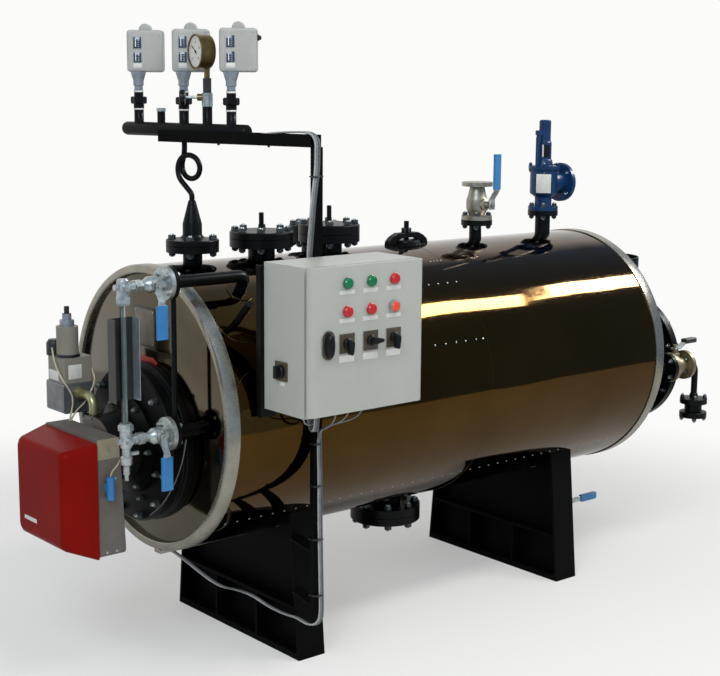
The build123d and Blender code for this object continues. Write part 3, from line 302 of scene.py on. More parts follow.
def dress(node, finish, bevel=0.0, smooth=30, zones=(), reshape=None):
    # a merged, smoothed copy of a CAD node with softened edges; zones give some faces another finish
    bm = bmesh.new()
    bm.from_mesh(frame["nodes"][node].data)
    bmesh.ops.remove_doubles(bm, verts=bm.verts, dist=1e-5)
    bmesh.ops.dissolve_limit(bm, angle_limit=math.radians(1.0), verts=bm.verts, edges=bm.edges)
    bm.normal_update()
    for vert in bm.verts if reshape else ():
        vert.co = reshape(vert.co)
    finishes = [finish] + [name for name, test in zones]
    for face in bm.faces:
        spot = face.calc_center_median()
        for number, (name, test) in enumerate(zones, 1):
            if test(spot, face.normal):
                face.material_index = number
                break
    piece = settle(bm, node + "Dressed", finishes, bodyOf[node], smooth, bevel, turnOut=False)
    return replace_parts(piece, node)


def towards(at, along):
    # a transform that puts local Z along a direction at a point
    turn = Vector((0, 0, 1)).rotation_difference(Vector(along))
    return Matrix.Translation(Vector(at)) @ turn.to_matrix().to_4x4()


def facing(at, normal):
    # a transform for a plate on a wall, or for a lamp: X to the right, Y up, Z out
    out = Vector(normal).normalized()
    side = Vector((0, 0, 1)).cross(out).normalized()
    turned = Matrix((side, out.cross(side), out)).transposed().to_4x4()
    turned.translation = Vector(at)
    return turned


def turnedShape(bm, profile, at, along=(0, 0, 1), steps=48):
    # profile is radius and height pairs; it is spun about the axis and closed
    place = towards(at, along)
    verts = [bm.verts.new(place @ Vector((max(r, 0.0), 0, h))) for r, h in profile]
    edges = [bm.edges.new(pair) for pair in zip(verts, verts[1:])]
    axis = (place.to_3x3() @ Vector((0, 0, 1))).normalized()
    bmesh.ops.spin(bm, geom=verts + edges, cent=Vector(at), axis=axis, angle=2 * math.pi, steps=steps,
                   use_merge=True)
    bmesh.ops.remove_doubles(bm, verts=bm.verts, dist=1e-6)


def plate(bm, place, width, height, thick, soft=0.0, index=0):
    # flat plate that stands on its place, with softened edges
    made = bmesh.ops.create_cube(bm, size=1.0)
    bmesh.ops.scale(bm, vec=(width, height, thick), verts=made["verts"])
    bmesh.ops.translate(bm, vec=(0, 0, thick / 2), verts=made["verts"])
    verts = made["verts"]
    if soft > 0:
        edges = list({e for v in verts for e in v.link_edges})
        rounded = bmesh.ops.bevel(bm, geom=edges, offset=soft, affect="EDGES", segments=2, profile=0.5,
                                  material=-1)
        verts = list({v for f in rounded["faces"] for v in f.verts} | {v for v in verts if v.is_valid})
    for face in {f for v in verts for f in v.link_faces}:
        face.material_index = index
    bmesh.ops.transform(bm, matrix=place, verts=verts)


def drawnOut(bm, outline, by):
    # a flat outline drawn out into a solid
    face = bm.faces.new([bm.verts.new(spot) for spot in outline])
    grown = bmesh.ops.extrude_face_region(bm, geom=[face])
    moved = [v for v in grown["geom"] if isinstance(v, bmesh.types.BMVert)]
    bmesh.ops.translate(bm, vec=by, verts=moved)


def stub(bm, at, along, radius, length, steps=16, tip=None, index=0):
    # short round piece from a point along a direction
    made = bmesh.ops.create_cone(bm, cap_ends=True, segments=steps, radius1=radius,
                                 radius2=radius if tip is None else tip, depth=length,
                                 matrix=towards(at, along) @ Matrix.Translation((0, 0, length / 2)))
    for face in {f for v in made["verts"] for f in v.link_faces}:
        face.material_index = index


def bolt(bm, at, along, wide, head, tip):
    # washer, hexagon and thread end, seated on the face and pointing outwards
    out = Vector(along).normalized()
    stub(bm, at, along, wide * 0.62, 0.0022, 14)
    stub(bm, Vector(at) + out * 0.0022, along, wide * 0.575, head, 6, wide * 0.55)
    if tip > 0:
        stub(bm, Vector(at) + out * (0.0022 + head), along, wide * 0.33, tip, 10, wide * 0.28, 1)


def boltCircle(bm, centre, axis, radius, count, start, ends, wide, head, tip):
    # ends are distances along the axis with the way each head points
    place = towards(centre, axis)
    for k in range(count):
        a = math.radians(start) + 2 * math.pi * k / count
        for reach, way in ends:
            spot = place @ Vector((radius * math.cos(a), radius * math.sin(a), reach))
            bolt(bm, spot, Vector(axis) * way, wide, head, tip)


def heldLine(name, points, thick, finish):
    # a cable or hose that is fixed all along, on one smooth line
    curve = bpy.data.curves.new(name, "CURVE")
    curve.dimensions = "3D"
    curve.bevel_depth = thick / 2
    curve.bevel_resolution = 3
    curve.use_fill_caps = True
    curve.resolution_u = 6
    line = curve.splines.new("NURBS")
    line.points.add(len(points) - 1)
    for spot, at in zip(line.points, points):
        spot.co = (at[0], at[1], at[2], 1.0)
    line.order_u = 3
    line.use_endpoint_u = True
    piece = addObject(name, curve)
    curve.materials.append(skin[finish])
    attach(piece, "boiler")
    return piece


# camera solved from the photograph
view = {"position": (-3.0168, -4.2549, 2.0163), "azimuth": -39.88, "elevation": 9.885, "roll": 0.4345,
        "lens": 72.23}
az, el = math.radians(view["azimuth"]), math.radians(view["elevation"])
back = Vector((math.sin(az) * math.cos(el), -math.cos(az) * math.cos(el), math.sin(el)))
right = (-back).cross(Vector((0, 0, 1))).normalized()
up = right.cross(-back)
roll = math.radians(view["roll"])
right, up = right * math.cos(roll) + up * math.sin(roll), up * math.cos(roll) - right * math.sin(roll)
cameraData = bpy.data.cameras.new("photoView")
cameraData.lens = view["lens"]
cameraData.sensor_width = 36
camera = addObject("photoView", cameraData)
pose = Matrix((right, up, back)).transposed().to_4x4()
pose.translation = Vector(view["position"])
camera.matrix_world = pose
scene.camera = camera

# floor: pale, keeps the shadow, and runs into the background far out
ground = {"half": 4.4, "middle": (0.7, 1.2, 0), "fadeFrom": 1.9, "fadeTo": 3.6, "near": 0.35,
          "colour": "#fbfbfa"}
bm = bmesh.new()
bmesh.ops.create_grid(bm, x_segments=1, y_segments=1, size=ground["half"],
                      matrix=Matrix.Translation(ground["middle"]))
floorMesh = bpy.data.meshes.new("studioFloor")
bm.to_mesh(floorMesh)
bm.free()
floor = addObject("studioFloor", floorMesh)
floorSkin, tree, floorShader = newMaterial("paleFloor")
floorNoise = addNode(tree, "TexNoise", None, {"Scale": 3.0, "Detail": 3}).outputs["Fac"]
tree.links.new(ramp(tree, floorNoise, 0, 1, 0.86, 0.89), floorShader.inputs["Base Color"])
floorShader.inputs["Roughness"].default_value = 0.9
floorShader.inputs["Specular IOR Level"].default_value = 0.1
spot = addNode(tree, "Mapping", None,
               {"Vector": addNode(tree, "TexCoord").outputs["Object"], "Location": (-0.6, 0, 0)})
away = addNode(tree, "VectorMath", {"operation": "LENGTH"}, {0: spot.outputs[0]})
fade = addNode(tree, "MapRange", {"clamp": True, "interpolation_type": "SMOOTHSTEP"},
               {"Value": away.outputs["Value"], "From Min": ground["fadeFrom"], "From Max": ground["fadeTo"],
                "To Min": ground["near"]})
path = addNode(tree, "LightPath")
seen = addNode(tree, "Math", {"operation": "MULTIPLY"},
               {0: fade.outputs[0], 1: path.outputs["Is Camera Ray"]})
paleGlow = addNode(tree, "Emission", None, {"Color": srgb(ground["colour"]), "Strength": 1.0})
joinedFloor = addNode(tree, "MixShader", None,
                      {0: seen.outputs[0], 1: floorShader.outputs[0], 2: paleGlow.outputs[0]})
tree.links.new(joinedFloor.outputs[0], tree.nodes["Material Output"].inputs["Surface"])
floorMesh.materials.append(floorSkin)

# world: pale behind the object, a dim hall on the camera's side for what mirrors show
hall = {"pale": "#fbfbfa", "dim": (0.16, 0.23, 0.36, 1.0), "from": 0.30, "to": 0.45, "plain": 0.48,
        "lit": (0.42, 0.55, 0.72, 1.0), "litTo": 0.60, "dimFrom": 0.66}
world = bpy.data.worlds.new("paleStudio")
scene.world = world
world.use_nodes = True
tree = world.node_tree
path = addNode(tree, "LightPath")
way = addNode(tree, "SeparateXYZ", None, {0: addNode(tree, "TexCoord").outputs["Generated"]})
behind = ramp(tree, way.outputs["Y"], hall["from"], hall["to"])
dimmed = blend(tree, ramp(tree, way.outputs["X"], hall["litTo"], hall["dimFrom"]), hall["lit"], hall["dim"])
room = blend(tree, behind, dimmed, srgb(hall["pale"]))
shown = blend(tree, path.outputs["Is Glossy Ray"], srgb(hall["pale"]), room)
direct = addNode(tree, "Math", {"operation": "MAXIMUM"},
                 {0: path.outputs["Is Camera Ray"], 1: path.outputs["Is Transmission Ray"]})
anyway = addNode(tree, "Math", {"operation": "MAXIMUM"},
                 {0: direct.outputs[0], 1: path.outputs["Is Glossy Ray"]})
power = ramp(tree, anyway.outputs[0], 0, 1, hall["plain"], 1.0)
worldBack = tree.nodes["Background"]
tree.links.new(shown, worldBack.inputs["Color"])
tree.links.new(power, worldBack.inputs["Strength"])

lamps = {
    "keyLamp": {
        "at": (-4.2, -3.2, 4.6), "aim": (0.3, -0.2, 0.9), "size": (2.6, 2.6), "watts": 165,
        "tint": (0.86, 0.95, 1.0)},
    "topLamp": {
        "at": (0.9, -2.4, 4.4), "aim": (0.7, 0, 1.2), "size": (4.6, 0.7), "watts": 95, "mirrored": False,
        "tint": (1.0, 0.98, 0.92)},
    "fillLamp": {
        "at": (4.6, -4.6, 2.6), "aim": (0.8, 0, 0.8), "size": (2.6, 2.6), "watts": 48, "mirrored": False,
        "tint": (1.0, 0.97, 0.90)},
    # two roof lights that only mirrors show, as the long white band along the shell
    "roofStripNear": {
        "at": (3.60, -1.92, 4.2), "aim": (3.60, -0.36, 1.25), "size": (1.9, 0.74), "watts": 235,
        "lights": False},
    "roofStripFar": {
        "at": (5.55, -1.57, 4.2), "aim": (5.55, -0.36, 1.25), "size": (1.95, 0.80), "watts": 300,
        "lights": False},
}
for name, lamp in lamps.items():
    data = bpy.data.lights.new(name, "AREA")
    data.shape = "RECTANGLE"
    data.size, data.size_y = lamp["size"]
    data.energy = lamp["watts"]
    data.color = lamp.get("tint", (1.0, 1.0, 1.0))
    light = addObject(name, data)
    light.matrix_world = facing(lamp["at"], Vector(lamp["at"]) - Vector(lamp["aim"]))
    light.visible_glossy = lamp.get("mirrored", True)
    light.visible_diffuse = lamp.get("lights", True)
scene.view_settings.view_transform = "Standard"
print("camera and light set")

# shell: cladding sheet with one lap, rims, end plates and rivets
shell = {"radius": 0.500, "height": 0.903, "front": -0.431, "rear": 1.786, "rims": (0.047, 0.056),
         "proud": 0.004, "plateRadius": 0.474, "plateSet": 0.014, "lapAt": 0.775, "lapProud": 0.0007}
zAxis = shell["height"]
low, high = shell["front"] + shell["rims"][0], shell["rear"] - shell["rims"][1]
lap, r = shell["lapAt"], shell["radius"]
profile = [(r - 0.02, low), (r, low), (r, lap - 0.004), (r + shell["lapProud"], lap - 0.003),
           (r + shell["lapProud"], lap - 0.0002), (r, lap), (r, high), (r - 0.02, high), (r - 0.02, low)]
bm = bmesh.new()
turnedShape(bm, profile, (0, 0, zAxis), (1, 0, 0), 192)
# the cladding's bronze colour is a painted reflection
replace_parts(settle(bm, "claddingSheets", "polishedStainless", "boiler", 25), "jacket")
for end, x, sign, node, long in (("front", shell["front"], 1, "front_ring", shell["rims"][0]),
                                 ("rear", shell["rear"], -1, "rear_ring", shell["rims"][1])):
    outer, inner = shell["radius"] + shell["proud"], shell["plateRadius"]
    rim = [(inner, 0.030), (inner, 0.004), (inner + 0.004, 0.0), (outer - 0.012, 0.0), (outer - 0.004, 0.003),
           (outer, 0.011), (outer, long), (r - 0.006, long), (r - 0.006, 0.030), (inner, 0.030)]
    bm = bmesh.new()
    turnedShape(bm, rim, (x, 0, zAxis), (sign, 0, 0), 192)
    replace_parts(settle(bm, end + "Rim", "brushedRim", "boiler", 30), node)
    bm = bmesh.new()
    turnedShape(bm, [(0, 0.0), (shell["plateRadius"] - 0.006, 0.0), (shell["plateRadius"], 0.002),
                     (shell["plateRadius"], 0.016), (0, 0.016)],
                (x + sign * shell["plateSet"], 0, zAxis), (sign, 0, 0), 128)
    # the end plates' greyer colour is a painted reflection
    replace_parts(settle(bm, end + "EndPlate", "mirrorPlate", "boiler", 30),
                end + "_plate")

# rivets are given by their turn from the top towards the front, and their places along the shell
rivets = {"radius": 0.0034, "proud": 0.0018,
          "rows": [(134.0, [-0.40 + 0.05 * k for k in range(44)]), (24.5, [0.713, 0.731, 0.748, 0.766]),
                   (39.5, [0.604, 0.652, 0.700, 0.747]),
                   (68.0, [0.507, 0.560, 0.613, 0.661, 0.715, 0.751])]}
bm = bmesh.new()
spots = [(turn, x) for turn, places in rivets["rows"] for x in places]
for turn, x in spots:
    a = math.radians(turn)
    out = Vector((0, -math.sin(a), math.cos(a)))
    foot = Vector((x, 0, zAxis)) + out * (shell["radius"] - 0.001)
    stub(bm, foot, out, rivets["radius"], 0.0016, 10)
    stub(bm, foot + out * 0.0016, out, rivets["radius"], rivets["proud"] - 0.0006, 10,
         rivets["radius"] * 0.45)
settle(bm, "shellRivets", "zincPlate", "boiler", 50)
print("shell made")

# solids drawn with softened edges; some faces get another finish, and some pieces are reshaped
lampX = (-0.160, -0.0625, 0.035)
lampZ = (1.406, 1.316)


def nearLamp(p, column, row):
    return (p.x - lampX[column]) ** 2 + (p.z - lampZ[row]) ** 2 < 0.0195 ** 2 and p.y < -0.7738


def outOfShell(p):
    return Vector((0, p.y, p.z - zAxis)).normalized()


zones = {
    "burner_body": [
        ("blackPaint", lambda p, n: p.x > -0.56 or (p.x > -0.6455 and abs(n.x) < 0.5
                                                    and 0.09 < math.hypot(p.y, p.z - 0.79) < 0.1240))],
    "gauge_protector": [("neckGrey", lambda p, n: p.x > -0.6495)],
    "gas_block": [("darkAnodised", lambda p, n: p.y > 0.2745)],
    "gas_actuator": [
        ("nylonBlack", lambda p, n: p.z > 1.0835 and (p.x + 0.647) ** 2 + (p.y - 0.25) ** 2 < 0.029 ** 2),
        ("nylonBlack", lambda p, n: p.z > 1.2335), ("neckGrey", lambda p, n: p.z > 1.1905),
        ("actuatorGrey", lambda p, n: p.z > 1.0935), ("nylonBlack", lambda p, n: p.z > 1.0835)],
    "upper_gauge_lever": [("vinylBlue", lambda p, n: p.z < 1.3232)],
    "lower_gauge_lever": [("vinylBlue", lambda p, n: p.z < 0.8242)],
    "vent_lever": [("vinylBlue", lambda p, n: p.z > 1.6088)],
    "blowdown_lever": [("vinylBlue", lambda p, n: p.x > 1.6338)],
    "feed_lever": [("darkAnodised", lambda p, n: p.x > 2.1098)],
    "manifold": [
        ("zincPlate", lambda p, n: p.z > 1.9235 and (p.x + 0.2588) ** 2 + (p.y - 0.1467) ** 2 < 0.0004)],
    "gauge_cock": [("turnedBrass", lambda p, n: 0.0192 < math.hypot(p.x + 0.2078, p.y + 0.0673) < 0.036),
                   ("darkAnodised", lambda p, n: p.z > 1.9903)],
    "rosettes": [("brushedRim", lambda p, n: abs(n.dot(outOfShell(p))) < 0.6)],
    "cabinet_case": [("plateBronze", lambda p, n: p.x < -0.3062 and abs(p.y + 0.622) < 0.033),
                     ("nylonBlack", lambda p, n: p.z < 0.9797)],
    "door_fittings": [("lensGreen", lambda p, n: nearLamp(p, 0, 0) or nearLamp(p, 1, 0)),
                      ("lensRed", lambda p, n: nearLamp(p, 2, 0) or nearLamp(p, 0, 1) or nearLamp(p, 1, 1)),
                      ("lensLit", lambda p, n: nearLamp(p, 2, 1)),
                      ("zincPlate", lambda p, n: p.z > 1.28 or abs(n.y) < 0.7)],
}
dressed = {
    "rosettes": ("polishedStainless", 0), "front_leg": ("blackPlate", 0.0012),
    "rear_leg": ("blackPlate", 0.0012), "burner_door": ("blackPaint", 0.002),
    "burner_body": ("castGrey", 0.0015), "burner_cover": ("redHood", 0.003),
    "burner_capacitor": ("vinylBlue", 0.0008), "gas_block": ("castAlloy", 0.001),
    "gas_actuator": ("actuatorGrey", 0.0012), "gas_elbow": ("yellowZinc", 0),
    "shell_nozzles": ("blackPaint", 0.0025), "nozzle_covers": ("blackPaint", 0.0025),
    "steam_reducer": ("blackPaint", 0.0025), "siphon": ("blackPaint", 0), "manifold": ("blackPaint", 0),
    "pipe_post": ("blackPlate", 0.0008), "gauge_cock": ("zincPlate", 0.0005),
    "gauge_wheel": ("phenolic", 0.001), "handhole_cover": ("blackPaint", 0.001),
    "handhole_yoke": ("blackPaint", 0.001), "vent_valve": ("castStainless", 0.0008),
    "vent_lever": ("zincPlate", 0.0008), "safety_valve": ("enamelBlue", 0.001),
    "lift_lever": ("enamelBlue", 0.0006), "gauge_pipes": ("blackPaint", 0.0008),
    "upper_gauge_cock": ("zincPlate", 0.0006), "lower_gauge_cock": ("zincPlate", 0.0006),
    "upper_gauge_lever": ("zincPlate", 0.0006), "lower_gauge_lever": ("zincPlate", 0.0006),
    "gauge_glass": ("glassTube", 0), "gauge_protector": ("darkAnodised", 0.0005),
    "smokebox": ("blackPaint", 0.001), "smokebox_cover": ("blackPaint", 0.001),
    "flue_outlet": ("blackPaint", 0.0008), "feed_pipe": ("blackPaint", 0.0008),
    "feed_valve": ("dullBronze", 0.0008), "feed_lever": ("zincPlate", 0.0006),
    "blowdown_valve": ("zincPlate", 0.0006), "blowdown_lever": ("zincPlate", 0.0006),
    "cabinet_case": ("powderGrey", 0.001), "cabinet_door": ("powderGrey", 0.0015),
    "door_fittings": ("plateBronze", 0.0006), "selector_knob_1": ("phenolic", 0.0008),
    "selector_knob_2": ("phenolic", 0.0008), "selector_knob_3": ("phenolic", 0.0008),
    "door_latch": ("phenolic", 0.001), "isolator_knob": ("phenolic", 0.0008),
    "cabinet_rail": ("blackPaint", 0.0006), "cabinet_cables": ("cableSheath", 0),
}


valveNecks = {"places": (1.15904, 1.554), "within": 0.030, "below": 1.470, "share": 0.62}
sleeveShare = 1.25


def narrowNecks(p):
    # pulls in only points nearer to a valve's axis than "within": part of the vent's pipe, which has that
    # radius, and none of the safety valve's
    for x in valveNecks["places"]:
        if math.hypot(p.x - x, p.y) < valveNecks["within"] and p.z < valveNecks["below"]:
            return Vector((x + (p.x - x) * valveNecks["share"], p.y * valveNecks["share"], p.z))
    return p


def widerSleeve(leverX, top):
    # a lever's sleeve, below its top, is wider than its solid
    return lambda p: Vector((leverX + (p.x - leverX) * sleeveShare, p.y, p.z)) if p.z < top else p


hatchSpots = [v.co.x for v in frame["nodes"]["handhole_cover"].data.vertices]
hatchX = (min(hatchSpots) + max(hatchSpots)) / 2
hatch = {"half": (0.112, 0.088), "edgeFrom": 0.85, "share": 0.74, "top": 1.4065}


def smallerFrame(p):
    # pulls the oval frame in and down under the yoke
    if ((p.x - hatchX) / hatch["half"][0]) ** 2 + (p.y / hatch["half"][1]) ** 2 <= hatch["edgeFrom"]:
        return p
    return Vector((hatchX + (p.x - hatchX) * hatch["share"], p.y * hatch["share"], min(p.z, hatch["top"])))


reshapes = {"shell_nozzles": narrowNecks, "handhole_cover": smallerFrame,
            "upper_gauge_lever": widerSleeve(-0.586, 1.3234),
            "lower_gauge_lever": widerSleeve(-0.576, 0.8244)}
for node, (finish, bevel) in dressed.items():
    dress(node, finish, bevel, zones=zones.get(node, ()), reshape=reshapes.get(node))

# handhole yoke: a stout arch with its stud and nut, over the dressed yoke
arch = {"outer": ((102, 0), (98, 17), (80, 33), (52, 46)), "inner": ((74, 0), (68, 13), (48, 23), (28, 27)),
        "deep": 0.030, "foot": 1.403, "stud": (0.010, 1.4215, 1.494), "nut": (0.018, 1.449, 0.018)}
outline = [(x, z) for x, z in arch["outer"]] + [(-x, z) for x, z in reversed(arch["outer"])]
outline += [(-x, z) for x, z in arch["inner"]] + [(x, z) for x, z in reversed(arch["inner"])]
bm = bmesh.new()
drawnOut(bm, [(hatchX + x / 1000, -arch["deep"] / 2, arch["foot"] + z / 1000) for x, z in outline],
         (0, arch["deep"], 0))
studThick, studFoot, studTop = arch["stud"]
stub(bm, (hatchX, 0, studFoot), (0, 0, 1), studThick, studTop - studFoot, 20, studThick * 0.9, 0)
stub(bm, (hatchX, 0, arch["nut"][1]), (0, 0, 1), arch["nut"][0] * 1.15, arch["nut"][2], 6, None, 1)
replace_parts(settle(bm, "yokeArch", ["blackPaint", "nutZinc"], "boiler", 30, 0.0015),
            "handhole_yoke")
print("carried pieces dressed")

# through-bolts: centre, axis, circle, number, first angle, faces with their way,
# then width over flats, head and thread end
upright, level = (0, 0, 1), (1, 0, 0)
paintedBolts = {
    "steamBolts": ((-0.231, 0, 0), upright, 0.072, 4, -40, ((1.484, 1), (1.440, -1)), 0.024, 0.012, 0.004),
    "probeBoltsA": ((0.067, 0, 0), upright, 0.096, 8, 8, ((1.497, 1), (1.440, -1)), 0.024, 0.012, 0.004),
    "probeBoltsB": ((0.382, 0, 0), upright, 0.096, 8, 8, ((1.506, 1), (1.440, -1)), 0.024, 0.012, 0.004),
    "probeBoltsC": ((0.466, 0.2, 0), upright, 0.081, 8, 8, ((1.483, 1), (1.417, -1)), 0.024, 0.012, 0.004),
    "drainBolts": ((0.677, 0, 0), upright, 0.118, 8, 10, ((0.366, 1), (0.300, -1)), 0.027, 0.013, 0.005),
    "ventBolts": ((1.15904, 0, 0), upright, 0.048, 4, 45, ((1.497, 1), (1.458, -1)), 0.019, 0.010, 0.004),
    "safetyBolts": ((1.554, 0, 0), upright, 0.048, 4, 45, ((1.517, 1), (1.478, -1)), 0.019, 0.010, 0.004),
    "feedBoltsIn": ((0, -0.350, 0.813), level, 0.049, 4, 45, ((2.001, 1), (1.983, -1)), 0.019, 0.010, 0.004),
    "feedBoltsOut": ((0, -0.350, 0.813), level, 0.040, 4, 45, ((2.137, 1), (2.105, -1)), 0.014, 0.008, 0.005),
    "spoolBolts": ((2.198, -0.350, 0), upright, 0.049, 4, 45, ((0.652, 1), (0.566, -1)), 0.017, 0.010, 0.006),
    "smokeBolts": ((0, 0, 0.802), level, 0.268, 16, 5, ((2.169, 1), (2.127, -1)), 0.019, 0.010, 0.004),
    "doorBolts": ((0, 0, 0.790), level, 0.250, 12, 15, ((-0.501, -1),), 0.024, 0.014, 0.010),
    "doorInnerBolts": ((0, 0, 0.790), level, 0.195, 8, 22, ((-0.501, -1),), 0.019, 0.011, 0.008),
    "burnerBolts": ((0, 0, 0.790), level, 0.155, 6, 30, ((-0.515, -1),), 0.019, 0.011, 0.008),
}
for name, given in paintedBolts.items():
    bm = bmesh.new()
    boltCircle(bm, *given)
    settle(bm, name, ["nutZinc", "zincPlate"], "boiler", 40)
bm = bmesh.new()
for z in (1.385, 0.886):
    boltCircle(bm, (0, -0.300, z), (1, 0, 0), 0.040, 4, 45, ((-0.542, -1), (-0.512, 1)), 0.017, 0.009, 0.004)
settle(bm, "gaugeBolts", ["zincPlate", "zincPlate"], "boiler", 40)

# union nuts and plugs on the gauge heads
heads = {"x": -0.691, "y": -0.300, "upper": 1.385, "lower": 0.886, "gland": (0.0255, 0.024),
         "union": (0.0205, 0.026), "plug": (0.0105, 0.013)}
bm = bmesh.new()
for z, up in ((heads["upper"], -1), (heads["lower"], 1)):
    at = Vector((heads["x"], heads["y"], z))
    glandAt = at + Vector((0, 0, up * 0.033))
    wide, tall = heads["gland"][0], heads["gland"][1] * 0.8
    stub(bm, glandAt, (0, 0, up), wide, tall, 6)
    stub(bm, glandAt + Vector((0, 0, up * tall)), (0, 0, up), wide * 0.9, 0.004, 24, wide * 0.6)
    stub(bm, at + Vector((0.040, 0, 0)), (1, 0, 0), heads["union"][0], heads["union"][1], 6)
    stub(bm, at + Vector((0.026, 0, 0)), (1, 0, 0), 0.0175, 0.012, 24)
    stub(bm, at - Vector((0.019, 0, 0)), (-1, 0, 0), heads["plug"][0], heads["plug"][1], 6)
    stub(bm, at - Vector((0, 0.018, 0)), (0, -1, 0), heads["plug"][0] * 1.3, heads["plug"][1], 6)
    stub(bm, at - Vector((0, 0.031, 0)), (0, -1, 0), heads["plug"][0], 0.004, 20, heads["plug"][0] * 0.8)
settle(bm, "headNuts", "zincPlate", "boiler", 30, 0.0006)
bm = bmesh.new()
boltCircle(bm, (1.554, 0, 0), (0, 0, 1), 0.057, 4, 45, ((1.689, 1), (1.674, -1)), 0.013, 0.008, 0.004)
settle(bm, "bonnetBolts", ["enamelBlue", "zincPlate"], "boiler", 40)
print("bolts made")

# rig of switches on the manifold; places are along it, across it and up
rig = {"origin": (-0.231, 0.030), "turn": math.radians(-76.6), "switches": (-0.230, -0.010, 0.210),
       "boxShift": 0.024, "boxBack": 0.029, "boxWide": 0.128, "boxDeep": 0.070, "boxTop": 2.207}
across = Vector((math.cos(math.radians(-39.9)), math.sin(math.radians(-39.9)), 0))
away = Vector((-across.y, across.x, 0))


def rigPoint(s, t, z):
    c, n = math.cos(rig["turn"]), math.sin(rig["turn"])
    return Vector((rig["origin"][0] + s * c - t * n, rig["origin"][1] + s * n + t * c, z))


# each switch: soft-cornered box with a crown, plated neck and a union on its stub
switch = {"low": 2.060, "soft": 0.011, "crown": 0.022,
          "neck": ((0.0150, 1.9955), (0.0150, 2.012), (0.0185, 2.014), (0.0185, 2.030), (0.0205, 2.036),
                   (0.0265, 2.056), (0.0265, 2.062)),
          "nutWide": 0.050}
for number, s in enumerate(rig["switches"], 1):
    foot = rigPoint(s, 0, 0)
    middle = foot + across * rig["boxShift"] + away * rig["boxBack"]
    tall = rig["boxTop"] - switch["low"]
    centre = Vector((middle.x, middle.y, switch["low"] + tall / 2)) + away * rig["boxDeep"] / 2
    bm = bmesh.new()
    plate(bm, facing(centre, -away), rig["boxWide"], tall, rig["boxDeep"], switch["soft"], 0)
    crownAt = Vector((middle.x, middle.y, rig["boxTop"])) - away * 0.021
    turnedShape(bm, [(0, 0), (switch["crown"] - 0.003, 0), (switch["crown"], 0.003), (switch["crown"], 0.037),
                     (switch["crown"] - 0.003, 0.040), (0, 0.040)], crownAt, away, 40)
    skirt = len(bm.faces)
    neck = [(0, switch["neck"][0][1])] + list(switch["neck"]) + [(0, switch["neck"][-1][1])]
    turnedShape(bm, neck, (foot.x, foot.y, 0), (0, 0, 1), 32)
    bm.faces.ensure_lookup_table()
    for face in bm.faces[skirt:]:
        face.material_index = 1
    nut, edge = switch["nutWide"] * 0.575, switch["nutWide"] * 0.50
    for z, radius, long, sides, tip in ((1.9310, 0.0185, 0.020, 24, None), (1.9490, edge, 0.004, 6, nut),
                                        (1.9530, nut, 0.018, 6, None), (1.9710, nut, 0.004, 6, edge),
                                        (1.9740, 0.0165, 0.024, 24, None)):
        stub(bm, (foot.x, foot.y, z), (0, 0, 1), radius, long, sides, tip, 2)
    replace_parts(settle(bm, f"switchBody{number}", ["switchGrey", "neckGrey", "blackPaint"], "boiler", 30,
                       0.0006), f"pressure_switch_{number}")

# each switch: windows and a bare label on its front, given in mm from the box's upper left corner
switchTrim = {"windows": ((39, 45, 28, 40), (39, 96, 28, 35)), "label": (39, 125, 30, 17), "frame": 2.0}
for number, s in enumerate(rig["switches"], 1):
    middle = (rigPoint(s, 0, rig["boxTop"]) + across * rig["boxShift"]
              + away * (rig["boxBack"] - rig["boxDeep"] / 2))
    corner = middle - across * rig["boxWide"] / 2
    bm = bmesh.new()
    for u, v, w, h in switchTrim["windows"]:
        at = corner + across * u / 1000 - Vector((0, 0, v / 1000))
        edge = switchTrim["frame"]
        plate(bm, facing(at, -away), (w + 2 * edge) / 1000, (h + 2 * edge) / 1000, 0.0012, 0.0005, 0)
        plate(bm, facing(at - away * 0.0006, -away), w / 1000, h / 1000, 0.0010, 0.0003, 1)
        for k in range(5):  # scale marks beside the pointer slot
            mark = at - away * 0.0014 + across * 0.004 + Vector((0, 0, (k - 2) * h / 6000))
            plate(bm, facing(mark, -away), 0.006, 0.0012, 0.0005, 0, 2)
        plate(bm, facing(at - away * 0.0014 - across * 0.006, -away), 0.0035, 0.7 * h / 1000, 0.0006, 0, 2)
    u, v, w, h = switchTrim["label"]
    at = corner + across * u / 1000 - Vector((0, 0, v / 1000))
    plate(bm, facing(at, -away), w / 1000, h / 1000, 0.0008, 0.0003, 2)
    for u in (12, 116):  # cover screws
        stub(bm, corner + across * u / 1000 - Vector((0, 0, 0.013)), -away, 0.0035, 0.0012, 14, 0.0030, 3)
    settle(bm, f"switchFace{number}", ["switchGrey", "windowBlue", "plateWhite", "zincPlate"], "boiler", 35)
    bm = bmesh.new()
    foot = rigPoint(s, 0, 0)
    for z, radius in ((1.9285, 0.0186), (1.9900, 0.0176)):
        turnedShape(bm, [(0.012, 0), (radius - 0.0006, 0), (radius, 0.001), (radius, 0.005),
                         (radius - 0.0008, 0.006), (0.012, 0.006), (0.012, 0)],
                    (foot.x, foot.y, z), (0, 0, 1), 24)
    settle(bm, f"threadTape{number}", "threadTape", "boiler", 50)

# entry gland on the right of the last switch
glandAt = (rigPoint(rig["switches"][2], 0, rig["boxTop"] - 0.032) + across * (rig["boxShift"] + 0.064)
           + away * 0.025)
bm = bmesh.new()
stub(bm, glandAt - across * 0.001, across, 0.011, 0.006, 6)
stub(bm, glandAt + across * 0.005, across, 0.0085, 0.008, 16, 0.006)
settle(bm, "switchGland", "nylonBlack", "boiler", 40)

